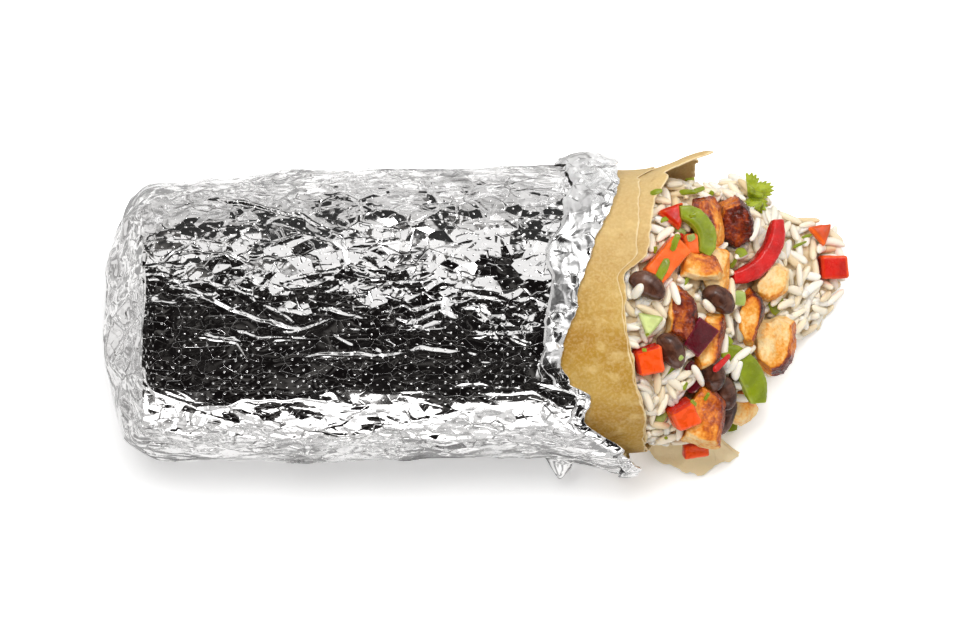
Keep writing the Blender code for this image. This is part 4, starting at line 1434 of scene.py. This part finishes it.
def surface_samples(made, count, rng):
    """Random points on a mesh, evenly by area, with the normals there."""
    mesh = made.data
    mesh.calc_loop_triangles()
    corners = np.empty(len(mesh.loop_triangles) * 3, dtype=np.int64)
    mesh.loop_triangles.foreach_get("vertices", corners)
    corners = get_points(made)[corners.reshape(-1, 3)]
    cross = np.cross(corners[:, 1] - corners[:, 0], corners[:, 2] - corners[:, 0])
    area = np.linalg.norm(cross, axis=-1)
    chosen = rng.choice(len(corners), size=count, p=area / area.sum())
    first, second = rng.random((2, count, 1))
    root = np.sqrt(first)
    points = corners[chosen, 0] * (1 - root) + corners[chosen, 1] * root * (1 - second)
    points += corners[chosen, 2] * root * second
    return points, cross[chosen] / area[chosen, None]


def grain_shape():
    """Points and faces of a straight grain of unit size along x."""
    unselect()
    bpy.ops.mesh.primitive_uv_sphere_add(segments=8, ring_count=9, radius=1)
    base = bpy.context.object
    points = get_points(base)[:, [2, 1, 0]] * (1, 1, -1)
    faces = [tuple(face.vertices) for face in base.data.polygons]
    bpy.data.objects.remove(base)
    length = np.clip(points[:, 0], -1, 1)
    ring = np.linalg.norm(points[:, 1:], axis=-1, keepdims=True)
    plump = np.sqrt(np.maximum(0, 1 - np.abs(length) ** 3.0))[:, None]
    points[:, 1:] = np.where(ring > 1e-6, points[:, 1:] / np.maximum(ring, 1e-6) * plump, 0)
    return points * 0.5, faces


def joined_copies(name, shape, transforms, tints):
    """One mesh of many bent copies of a shape. A transform is (place, three axes, sizes, bend)."""
    points, faces = shape
    everything = np.empty((len(transforms), len(points), 3))
    for index, (place, axes, sizes, bend) in enumerate(transforms):
        bent = points * sizes
        bent[:, 1] += bend * ((points[:, 0] * 2) ** 2 - 0.4) * sizes[0]
        bent[:, 1:] *= 1 + 0.10 * (points[:, 0:1] * 2) * (1 if index % 2 else -1)
        everything[index] = bent @ axes + place
    base = np.arange(len(transforms)) * len(points)
    mesh = bpy.data.meshes.new(name)
    all_faces = [tuple(start + index for index in face) for start in base.tolist() for face in faces]
    mesh.from_pydata(everything.reshape(-1, 3).tolist(), [], all_faces)
    made = bpy.data.objects.new(name, mesh)
    bpy.context.collection.objects.link(made)
    mesh.shade_smooth()
    mark(made, "tint", np.repeat(tints, len(points)))
    return made


def axes_along(direction, up):
    """Three axes as rows: along the direction, across it, and up."""
    first = direction / np.linalg.norm(direction)
    across = np.cross(up, first)
    across /= np.linalg.norm(across)
    return np.stack([first, across, np.cross(first, across)])


def scattered_grains(core, settings, avoid, heap):
    """Grains over the heap in layers, none in another piece or much in each other."""
    rng = np.random.default_rng(settings.rice_seed)
    transforms, tints = [], []
    for height, gap, share, pitch in RICE_LAYERS:
        kept = []
        points, normals = surface_samples(core, int(settings.grain_tries * share), rng)
        for point, normal in zip(points, normals):
            if not in_sight(point, normal):
                continue
            place = point + normal * (height + rng.uniform(-0.0003, 0.0005))
            scale = (rng.uniform(0.72, 1.12), rng.uniform(0.84, 1.14), rng.uniform(0.84, 1.10))
            size = np.array(GRAIN) * scale
            direction = np.cross(normal, rng.normal(size=3))
            direction = direction / np.linalg.norm(direction) + normal * rng.normal() * pitch
            axes = axes_along(direction, normal)
            ends = [place + axes[0] * size[0] * part for part in (-0.42, -0.2, 0.0, 0.2, 0.42)]
            if any(crowded(end, kept, gap) for end in ends):
                continue
            if any(end[2] < 0.0012 or outside_box(end) or inside(avoid, end, 0.0006) for end in ends):
                continue
            if any(stands_out(heap, end) for end in ends):
                continue
            kept.extend(ends)
            transforms.append((place, axes, size, rng.uniform(-0.11, 0.11)))
            tints.append(rng.random())
    return transforms, tints


def stands_out(heap, point):
    """Whether a point is further out of the heap than a grain may lie: close at its foot, further on top."""
    near, normal, _, distance = heap.find_nearest(Vector(point))
    outward = (Vector(point) - near).dot(normal)
    return outward > 0 and distance > mixed(0.0006, 0.0022, smooth(normal.z / 0.7))


def crowded(point, kept, gap):
    """Whether a point is closer than the gap to the kept grains of its layer."""
    if not kept:
        return False
    away = np.asarray(kept) - point
    return bool((np.einsum("ij,ij->i", away, away) < gap * gap).any())


def in_sight(point, normal):
    """Whether rice at this point of the core could be seen: outside the mouth, and not underneath."""
    return point[0] - HOME[0] > 0.1425 and normal[2] > -0.35 and point[2] > 0.0008


def outside_box(point):
    """Whether a point is outside the CAD part's box, or close to its top or sides."""
    low, high = CAD_BOX
    margin = 0.0012
    over = any(point[axis] > high[axis] - margin or point[axis] < low[axis] + margin for axis in (0, 1))
    return over or point[2] > high[2] - margin


# Loose grains round the spill and the heap: (x, y, height, turn in degrees, pitch in degrees)
LOOSE_GRAINS = (
    (0.1868, 0.0262, 0.0130, 48, -12),
    (0.1822, 0.0350, 0.0090, 12, 0),
    (0.1790, 0.0330, 0.0110, -20, 6),
    (0.1765, 0.0358, 0.0080, 30, 0),
    (0.1830, 0.0318, 0.0100, 65, -8),
    (0.1985, 0.0190, 0.0060, 40, 8),
    (0.1950, 0.0178, 0.0080, 28, 4),
    (0.1960, 0.0125, 0.0082, 8, 5),
    (0.2000, 0.0208, 0.0075, 35, 10),
    (0.1930, 0.0212, 0.0050, 5, 0),
    (0.1915, 0.0100, 0.0100, -18, 4),
    (0.1975, 0.0030, 0.0030, 82, 0),
    (0.2000, 0.0000, 0.0016, 76, 0),
    (0.1990, -0.0022, 0.0014, 84, 0),
    (0.2020, 0.0010, 0.0014, -62, 0),
    (0.1950, 0.0010, 0.0030, 20, 0),
    (0.1925, -0.0005, 0.0032, -15, 0),
    (0.2052, 0.0215, 0.0030, 60, 0),
    (0.2072, 0.0180, 0.0040, -65, 0),
    (0.2056, 0.0100, 0.0030, -8, 0),
)


def loose_grains(rng):
    """The single grains of the table above."""
    transforms = []
    for x, y, height, turn, pitch in LOOSE_GRAINS:
        flat = math.radians(turn)
        up = math.radians(pitch)
        direction = np.array((math.cos(flat) * math.cos(up), math.sin(flat) * math.cos(up), math.sin(up)))
        size = np.array(GRAIN) * (rng.uniform(0.85, 1.05), 1, 1)
        axes = axes_along(direction, np.array((0.0, 0.0, 1.0)))
        transforms.append((np.array((x, y, height)) + HOME, axes, size, rng.uniform(-0.06, 0.06)))
    return transforms


def shown_pieces():
    """The pieces modelled so far."""
    solids = set(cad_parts.values())
    return [made for made in bpy.data.objects if made.type == "MESH" and made not in solids]


def heap_height(tree, x, y):
    """Height of whatever lies highest at a place in plan, and the normal there."""
    start = Vector((x + HOME[0], y + HOME[1], 0.2))
    hit, normal, _, _ = tree.ray_cast(start, Vector((0, 0, -1)))
    if hit is None:
        return 0.0, np.array((0.0, 0.0, 1.0))
    return hit.z, np.array(normal)


# Knots of three or four grains stuck together on top of the filling: (x, y, turn in degrees)
KNOTS = (
    (0.1627, -0.0152, -35),
    (0.1648, -0.0193, 60),
    (0.1763, -0.0047, 85),
    (0.1774, -0.0100, 15),
    (0.1752, -0.0150, 70),
    (0.1775, -0.0222, 10),
    (0.1494, 0.0040, 60),
    (0.1566, -0.0190, 20),
    (0.1585, 0.0060, 95),
    (0.1833, 0.0215, 62),
    (0.1765, 0.0350, -8),
    (0.1560, -0.0235, 120),
)


def knotted_grains(tree, rng):
    """Grains lying side by side in small knots, on what is under them."""
    transforms = []
    for x, y, turn in KNOTS:
        for number in range(3 + (turn % 4 == 0)):
            flat = math.radians(turn + rng.uniform(-22, 22))
            across = (number - 1) * 0.0019 + rng.uniform(-0.0003, 0.0003)
            along_it = rng.uniform(-0.0012, 0.0012)
            spot_x = x + along_it * math.cos(flat) - across * math.sin(flat)
            spot_y = y + along_it * math.sin(flat) + across * math.cos(flat)
            height, normal = heap_height(tree, spot_x, spot_y)
            up = normal * 0.7 + np.array((0, 0, 0.3))
            direction = np.array((math.cos(flat), math.sin(flat), rng.uniform(-0.15, 0.15)))
            direction -= up * (direction @ up) / (up @ up)
            size = np.array(GRAIN) * (rng.uniform(0.62, 0.90), rng.uniform(0.95, 1.15), 1.0)
            place = np.array((spot_x, spot_y, max(height + 0.0006, 0.0013))) + (HOME[0], HOME[1], 0)
            transforms.append((place, axes_along(direction, up), size, rng.uniform(-0.10, 0.10)))
    return transforms


def rice_core():
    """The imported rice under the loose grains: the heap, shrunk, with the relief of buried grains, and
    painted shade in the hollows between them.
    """
    made = solid_copy("rice_bed", "rice_core", 0.00080, 3)
    points, normals = get_points(made), get_normals(made)
    long_bumps = (0.0042, 0.0013, 0.0013)
    buried = np.maximum(noise(points, long_bumps, 701), noise(points @ turn_matrix(5), long_bumps, 702))
    relief = buried * 0.00055 + noise(points, 0.006, 703) * 0.0004 - CORE_DEPTH
    points = points + normals * relief[:, None]
    points[:, 2] = np.maximum(points[:, 2], 0.0003)
    set_points(made, points)
    # Painted shade: the tint is lower, so darker and browner, in the hollows between the buried grains than
    # on them.
    mark(made, "tint", 0.25 + 0.25 * buried)
    return made


def rice_material(name, shade_and_damp):
    """Cooked rice: translucent white, warmer by the tint marked on it, and browned by a share that on the
    grains is a little dampness and on the packed core is painted shade for the gaps between grains.
    """
    made, tree, shader = shade(name, 0.40, 0.0, 0.40, 0.35)
    shader.inputs["Subsurface Radius"].default_value = (1.0, 0.85, 0.60)
    colour = ramp(tree, attribute(tree, "tint"), *RICE_TONES)
    cloudy = eased(tree, speckle(tree, 500), 0.35, 0.7)
    # Browning: a little dampness on the grains; on the packed core, painted shade that darkens the gaps
    # between the grains.
    wet = maths(tree, "MULTIPLY_ADD", cloudy, 0.5 * shade_and_damp, 0.5 * shade_and_damp)
    colour = blend(tree, wet, colour, (0.62, 0.44, 0.22))
    rough = maths(tree, "MULTIPLY_ADD", speckle(tree, 800), 0.3, 0.24)
    food_surface(tree, shader, colour, rough, 800.0, 0.00008)
    return made


class BURRITO_rice_settings(bpy.types.PropertyGroup):
    """Settings of the rice."""

    rice_seed: IntProperty(name="Rice seed", description="Changes how the grains lie", default=5, min=0)
    grain_tries: IntProperty(
        name="Grain tries",
        description="Places tried for grains, per layer",
        default=10000,
        min=100,
    )


class BURRITO_OT_rice(bpy.types.Operator):
    """Heap the rice: a packed core under layers of separate grains, with a few loose ones."""

    bl_idname = "burrito.rice"
    bl_label = "Rice"

    def execute(self, context):
        settings = context.scene.burrito_rice
        core = rice_core()
        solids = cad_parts
        avoid = world_mesh([made for name, made in solids.items() if name not in ("rice_bed", "foil_wrap")])
        transforms, tints = scattered_grains(core, settings, avoid, world_mesh([solids["rice_bed"]]))
        rng = np.random.default_rng(3)
        loose = loose_grains(rng) + knotted_grains(world_mesh(shown_pieces()), rng)
        transforms += loose
        tints += [0.85] * len(loose)
        grains = joined_copies("rice_grains", grain_shape(), transforms, tints)
        # Painted shade: the packed core is browned heavily, so that the gaps between the grains look shaded.
        place_piece(core, rice_material("rice_packed", 0.90), "rice", "rice_bed")
        place_piece(grains, rice_material("rice_grains", 0.07), "rice", "rice_bed")
        return {"FINISHED"}


# ---------------------------------------------------------------- herbs and small bits

# Small pieces strewn over the filling: (x, y, turn in degrees, length, width, thickness, kind)
SMALL_BITS = (
    (0.1576, -0.0165, 60, 0.0042, 0.0030, 0.0012, "green"),
    (0.1543, -0.0297, 50, 0.0062, 0.0036, 0.0016, "pale_green"),
    (0.1551, 0.0115, 62, 0.0072, 0.0026, 0.0012, "green"),
    (0.1772, 0.0039, 80, 0.0044, 0.0034, 0.0014, "pale_green"),
    (0.1888, 0.0018, 30, 0.0056, 0.0046, 0.0012, "green"),
    (0.1764, -0.0330, 10, 0.0050, 0.0022, 0.0012, "green"),
    (0.1720, -0.0142, 36, 0.0085, 0.0018, 0.0014, "deep_red"),
    (0.1646, -0.0200, 52, 0.0056, 0.0030, 0.0016, "onion"),
    (0.1630, -0.0152, 40, 0.0036, 0.0018, 0.0012, "onion"),
    (0.1588, 0.0232, -24, 0.0074, 0.0018, 0.0014, "pale_green"),
    (0.1560, 0.0255, 28, 0.0034, 0.0012, 0.0010, "green"),
    (0.1606, 0.0210, -40, 0.0040, 0.0014, 0.0012, "deep_red"),
    (0.1587, 0.0190, 70, 0.0052, 0.0016, 0.0012, "green"),
    (0.1633, 0.0205, 20, 0.0024, 0.0020, 0.0016, "pale_green"),
    (0.1612, 0.0144, 80, 0.0018, 0.0014, 0.0012, "pale_green"),
    (0.1630, 0.0335, 0, 0.0052, 0.0018, 0.0008, "green"),
    (0.1664, 0.0342, 30, 0.0034, 0.0014, 0.0008, "green"),
    (0.1696, 0.0330, 60, 0.0022, 0.0014, 0.0008, "green"),
    (0.1536, 0.0330, 20, 0.0036, 0.0014, 0.0008, "green"),
    (0.1640, 0.0372, 10, 0.0028, 0.0010, 0.0006, "green"),
    (0.1640, 0.0268, 30, 0.0022, 0.0010, 0.0008, "green"),
    (0.1780, 0.0165, 40, 0.0036, 0.0026, 0.0012, "green"),
    (0.1760, 0.0135, 75, 0.0030, 0.0012, 0.0010, "green"),
    (0.1958, 0.0192, 22, 0.0046, 0.0010, 0.0008, "green"),
    (0.1980, 0.0215, 20, 0.0034, 0.0010, 0.0008, "green"),
    (0.1500, -0.0105, 0, 0.0012, 0.0010, 0.0008, "green"),
    (0.1508, -0.0062, 20, 0.0012, 0.0010, 0.0008, "green"),
    (0.1568, -0.0352, 20, 0.0011, 0.0010, 0.0008, "green"),
    (0.1602, -0.0128, 40, 0.0016, 0.0014, 0.0010, "pale_green"),
    (0.1618, -0.0205, 60, 0.0024, 0.0010, 0.0008, "green"),
    (0.1640, -0.0252, -30, 0.0022, 0.0010, 0.0008, "green"),
    (0.1680, -0.0235, 50, 0.0026, 0.0010, 0.0008, "green"),
    (0.1745, -0.0080, -40, 0.0030, 0.0012, 0.0008, "green"),
    (0.1620, 0.0085, 50, 0.0032, 0.0012, 0.0008, "green"),
    (0.1532, 0.0170, 80, 0.0022, 0.0010, 0.0008, "green"),
    (0.1733, -0.0120, 10, 0.0028, 0.0012, 0.0008, "green"),
)


BIT_SLOTS = {
    "green": "green_pepper",
    "pale_green": "green_pepper",
    "deep_red": "red_pepper",
    "onion": "red_onion",
}


def small_bit(name, bit, number, tree):
    """An offcut with rounded edges, lying on what is under it."""
    x, y, turn, length, width, thickness, _ = bit
    height, normal = heap_height(tree, x, y)
    unselect()
    bpy.ops.mesh.primitive_cube_add(size=1)
    made = name_it(bpy.context.object, name)
    bpy.ops.object.mode_set(mode="EDIT")
    bpy.ops.mesh.select_all(action="SELECT")
    bpy.ops.mesh.subdivide(number_cuts=5)
    bpy.ops.object.mode_set(mode="OBJECT")
    points = get_points(made) * 2
    reach = np.linalg.norm(points, axis=-1, keepdims=True)
    square = np.abs(points).max(axis=-1, keepdims=True)
    points = points * mixed(1.0, square / reach, 0.55) / 2
    points[:, 1] *= 1 + 0.35 * noise(points + number, 0.9, 800)
    points = points * (length, width, thickness)
    points += noise(points + number, 0.0012, 801 + number)[:, None] * 0.00012 * np.sign(points)
    flat = math.radians(turn)
    up = normal * 0.6 + np.array((0, 0, 0.4))
    up /= np.linalg.norm(up)
    direction = np.array((math.cos(flat), math.sin(flat), 0.0))
    direction -= up * (direction @ up)
    place = np.array((x, y, 0)) + HOME
    place[2] = max(height + 0.25 * thickness, 0.5 * thickness + 0.0002)
    set_points(made, points @ axes_along(direction, up) + place)
    made.data.shade_smooth()
    normals = get_normals(made)
    mark(made, "skin", smooth((normals @ np.array((0.3, 0.2, 0.9)) - 0.2) / 0.5))
    mark(made, "edge", np.clip(1 - np.abs(normals).max(-1), 0, 0.5))
    return made


LEAVES = (  # coriander leaves: (x, y, turn in degrees, size)
    (0.1842, 0.0342, 20, 0.0076),
    (0.1822, 0.0312, 200, 0.0044),
)


def leaf(name, x, y, turn, size, tree):
    """A frilly leaf: a fan of lobes with toothed edges, gently cupped."""
    unselect()
    bpy.ops.mesh.primitive_grid_add(x_subdivisions=96, y_subdivisions=24, size=2)
    made = name_it(bpy.context.object, name)
    plan = get_points(made)
    reach = (plan[:, 1] + 1) / 2
    fan = plan[:, 0] * 1.35
    lobes = 0.58 + 0.34 * np.abs(np.cos(fan * 2.6)) ** 0.7 + 0.16 * np.abs((fan * 5.4) % 1 - 0.5) * 2
    radius = size * reach * lobes
    points = np.stack([radius * np.cos(fan), radius * np.sin(fan) * 0.8, 0 * fan], -1)
    veins = np.abs(np.sin(fan * 5.2)) * 0.00022 * reach
    points[:, 2] = 0.0007 * np.sin(reach * 2.6) - veins + 0.0006 * noise(points, 0.0022, 900)
    flat = math.radians(turn)
    spin = np.array(((math.cos(flat), math.sin(flat), 0), (-math.sin(flat), math.cos(flat), 0), (0, 0, 1)))
    stalk = (x - 0.5 * size * math.cos(flat), y - 0.5 * size * math.sin(flat))
    away = np.linalg.norm(points[:, :2], axis=-1)
    points = points @ spin + (*stalk, heap_height(tree, *stalk)[0] + 0.0003) + HOME
    points[:, 2] -= 0.30 * away
    under = np.array([heap_height(tree, *spot)[0] for spot in points[:, :2] - HOME[:2]])
    points[:, 2] = np.maximum(points[:, 2], under + 0.0003)
    set_points(made, points)
    modify(made, "WELD", merge_threshold=1e-6)
    modify(made, "SOLIDIFY", thickness=0.00018, offset=0)
    made.data.shade_smooth()
    marked = get_points(made)
    mark(made, "skin", 0.5 + 0.5 * noise(marked, 0.0016, 910))
    mark(made, "edge", 0 * marked[:, 0])
    return made


class BURRITO_OT_garnish(bpy.types.Operator):
    """Strew cut chilli, herb, onion and pepper bits over the filling, with two coriander leaves."""

    bl_idname = "burrito.garnish"
    bl_label = "Herbs and bits"

    def execute(self, context):
        tree = world_mesh(shown_pieces())
        finishes = {kind: bpy.data.materials[kind + "_vegetable"] for kind in BIT_SLOTS}
        for number, bit in enumerate(SMALL_BITS):
            kind = bit[-1]
            made = small_bit(f"bit_{kind}_{number:02d}", bit, number, tree)
            place_piece(made, finishes[kind], BIT_SLOTS[kind])
        for number, where in enumerate(LEAVES):
            place_piece(leaf(f"coriander_leaf_{number}", *where, tree), finishes["green"], "green_pepper")
        return {"FINISHED"}


# ---------------------------------------------------------------- stage

WALL_TONES = ((0.34, (0.26, 0.255, 0.25)), (0.46, (0.68, 0.675, 0.67)), (0.60, (0.92, 0.915, 0.91)))
CEILING_TONES = ((0.54, (0.006, 0.005, 0.005)), (0.70, (0.11, 0.105, 0.10)))
CEILING_LEAN = (0.0, -0.16, 0.987)
# Lamps and the card: (place, (width and depth))
KEY_LAMP = ((0.26, 0.40, 0.52), (0.24, 0.20))
FILL_LAMP = ((0.10, -0.75, 0.36), (0.70, 0.34))
TOP_LAMP = ((-0.06, 0.13, 0.75), (0.26, 0.20))
DARK_CARD = ((-0.075, 0.285, 0.225), (0.16, 0.19))
SOFTBOXES = (
    ((0.33, 0.36, 0.45), (0.78, 0.56)),
    ((-0.20, 0.22, 0.45), (0.24, 0.14)),
    ((0.42, -0.04, 0.45), (0.34, 0.20)),
)
CAMERA_PLAN = (-0.0010, -0.0001)  # x and y of the camera


def studio_world():
    """White studio walls under a dark ceiling that leans to -Y."""
    world = bpy.data.worlds.new("studio")
    bpy.context.scene.world = world
    world.use_nodes = True
    tree = world.node_tree
    where = add_node(tree, "ShaderNodeTexCoord").outputs["Generated"]
    z = add_node(tree, "ShaderNodeSeparateXYZ", {0: where}).outputs["Z"]

    def towards(direction, low, high):
        """1 where the walls lie towards the direction, falling to 0 away from it."""
        return eased(tree, dot_product(tree, where, direction), low, high)

    panels = noise_over(tree, where, 4.2, 2.0).outputs["Fac"]
    walls = ramp(tree, panels, *WALL_TONES)
    walls = tinted(tree, walls, towards((-0.93, 0.0, 0.37), 0.70, 0.92), 0.55, (1.0, 0.995, 0.99))
    streaks = noise_over(tree, vector(tree, "MULTIPLY", where, (2.0, 7.0, 1.0)), 2.0, 2.0).outputs["Fac"]
    ceiling = ramp(tree, streaks, *CEILING_TONES)
    room = blend(tree, towards((0.0, 0.60, 0.80), 0.86, 0.92), walls, (0.12, 0.115, 0.11))
    room = blend(tree, towards(CEILING_LEAN, 0.58, 0.70), room, (0.10, 0.095, 0.09))
    room = blend(tree, towards(CEILING_LEAN, 0.68, 0.76), room, ceiling)
    room = tinted(tree, room, eased(tree, z, 0.0, 0.30, 1.0, 0.0), 0.35, (0.82, 0.82, 0.82))
    tree.links.new(room, tree.nodes["Background"].inputs["Color"])


def soft_light(name, place, sizes, radiance, aimed=True):
    """A rectangular lamp of this brightness, aimed at the food or straight down."""
    bpy.ops.object.light_add(type="AREA", location=place)
    lamp = bpy.context.object
    lamp.name = name
    if aimed:
        lamp.rotation_euler = Vector(place).to_track_quat("Z", "Y").to_euler()
    lamp.data.shape = "RECTANGLE"
    lamp.data.size, lamp.data.size_y = sizes
    lamp.data.energy = radiance * math.pi * sizes[0] * sizes[1]
    lamp.visible_camera = False
    return lamp


def dark_card():
    """A dark card for the closed end of the foil to reflect."""
    place, (width, height) = DARK_CARD
    unselect()
    bpy.ops.mesh.primitive_plane_add(size=1, location=place)
    card = name_it(bpy.context.object, "dark_card")
    card.scale = (width, height, 1)
    card.rotation_euler = Vector(place).to_track_quat("Z", "X").to_euler()
    finish, _, shader = shade("dark_card", 0.9, 0.0, 0.0)
    shader.inputs["Base Color"].default_value = (0.05, 0.05, 0.05, 1)
    card.data.materials.append(finish)
    card.visible_camera = False
    return card


class BURRITO_stage_settings(bpy.types.PropertyGroup):
    """Settings of the camera, light and floor."""

    camera_height: FloatProperty(
        name="Camera height",
        description="Height of the camera over the table",
        subtype="DISTANCE",
        default=1.519,
    )
    lens: FloatProperty(name="Lens", description="Focal length in millimetres", default=200.0, min=20)
    softbox: FloatProperty(
        name="Softbox",
        description="Brightness of the wide soft lights",
        default=0.95,
        min=0,
    )
    key: FloatProperty(name="Key", description="Brightness of the small strong light", default=8, min=0)
    fill: FloatProperty(
        name="Fill",
        description="Brightness of the light on the near side",
        default=2.0,
        min=0,
    )
    top_light: FloatProperty(
        name="Top light",
        description="Brightness of the light from above",
        default=16.0,
        min=0,
    )
    floor_gain: FloatProperty(
        name="Floor gain",
        description="How far the table is overexposed",
        default=2.42,
        min=0,
    )
    floor_colour: FloatVectorProperty(
        name="Floor colour",
        description="Colour of the table",
        subtype="COLOR",
        default=(0.62, 0.62, 0.62),
        min=0,
        max=1,
    )


def table_top(settings):
    """A pale table, overexposed to the camera and patchy where the foil reflects it."""
    bpy.ops.mesh.primitive_plane_add(size=6, location=(0, 0, -0.0002))
    floor = name_it(bpy.context.object, "floor")
    finish, tree, _ = shade("floor", 0.9, 0.0, 0.0)
    rays = add_node(tree, "ShaderNodeLightPath").outputs
    gain = maths(tree, "MULTIPLY_ADD", rays["Is Camera Ray"], settings.floor_gain - 1, 1.0)
    patches = eased(tree, speckle(tree, 34, 0), 0.38, 0.60, -0.42, 0.80)
    gain = maths(tree, "ADD", gain, maths(tree, "MULTIPLY", rays["Is Glossy Ray"], patches))
    gains = add_node(tree, "ShaderNodeCombineXYZ", {0: gain, 1: gain, 2: gain}).outputs[0]
    colour = vector(tree, "MULTIPLY", tuple(settings.floor_colour), gains)
    matt = add_node(tree, "ShaderNodeBsdfDiffuse", {"Color": colour})
    tree.links.new(matt.outputs[0], tree.nodes["Material Output"].inputs["Surface"])
    floor.data.materials.append(finish)
    return floor


class BURRITO_OT_stage(bpy.types.Operator):
    """Lay a pale floor, light it softly, and hang the camera over the burrito."""

    bl_idname = "burrito.stage"
    bl_label = "Stage"

    def execute(self, context):
        settings = context.scene.burrito_stage
        floor = table_top(settings)
        studio_world()
        lamps = [soft_light("softbox", *where, settings.softbox, False) for where in SOFTBOXES]
        lamps.append(soft_light("key", *KEY_LAMP, settings.key))
        lamps.append(soft_light("fill", *FILL_LAMP, settings.fill))
        lamps.append(soft_light("top_light", *TOP_LAMP, settings.top_light))
        lamps[-1].visible_glossy = False
        card = dark_card()
        bpy.ops.object.camera_add(location=(*CAMERA_PLAN, settings.camera_height))
        camera = context.object
        camera.data.lens = settings.lens
        camera.data.sensor_width = 36
        camera.data.clip_end = 20
        context.scene.camera = camera
        context.scene.view_settings.view_transform = "Standard"
        return {"FINISHED"}


class BURRITO_PT_panel(bpy.types.Panel):
    """Builds the burrito's pieces."""

    bl_idname = "BURRITO_PT_panel"
    bl_label = "Burrito"
    bl_space_type = "VIEW_3D"
    bl_region_type = "UI"
    bl_category = "Burrito"

    def draw(self, context):
        for name in STEPS:
            self.layout.operator("burrito." + name)
        for name in SETTINGS:
            settings = getattr(context.scene, name)
            for key in settings.bl_rna.properties.keys()[2:]:  # after Blender's own two
                self.layout.prop(settings, key)


STEPS = ("foil", "tortilla", "chicken", "beans", "vegetables", "rice", "garnish", "stage")
SETTINGS = {
    "burrito_foil": BURRITO_foil_settings,
    "burrito_rice": BURRITO_rice_settings,
    "burrito_stage": BURRITO_stage_settings,
}
CLASSES = (
    *SETTINGS.values(),
    BURRITO_OT_foil,
    BURRITO_OT_tortilla,
    BURRITO_OT_chicken,
    BURRITO_OT_beans,
    BURRITO_OT_vegetables,
    BURRITO_OT_rice,
    BURRITO_OT_garnish,
    BURRITO_OT_stage,
    BURRITO_PT_panel,
)


def register():
    """Add the classes and their settings to Blender."""
    for kind in CLASSES:
        bpy.utils.register_class(kind)
    for name, kind in SETTINGS.items():
        setattr(bpy.types.Scene, name, PointerProperty(type=kind))


def unregister():
    """Take them out again."""
    for name in SETTINGS:
        delattr(bpy.types.Scene, name)
    for kind in reversed(CLASSES):
        bpy.utils.unregister_class(kind)


def main():
    """Build every piece and the stage."""
    register()
    for name in STEPS:
        if getattr(bpy.ops.burrito, name)() != {"FINISHED"}:
            raise RuntimeError("step failed: " + name)


if __name__ == "__main__":
    main()
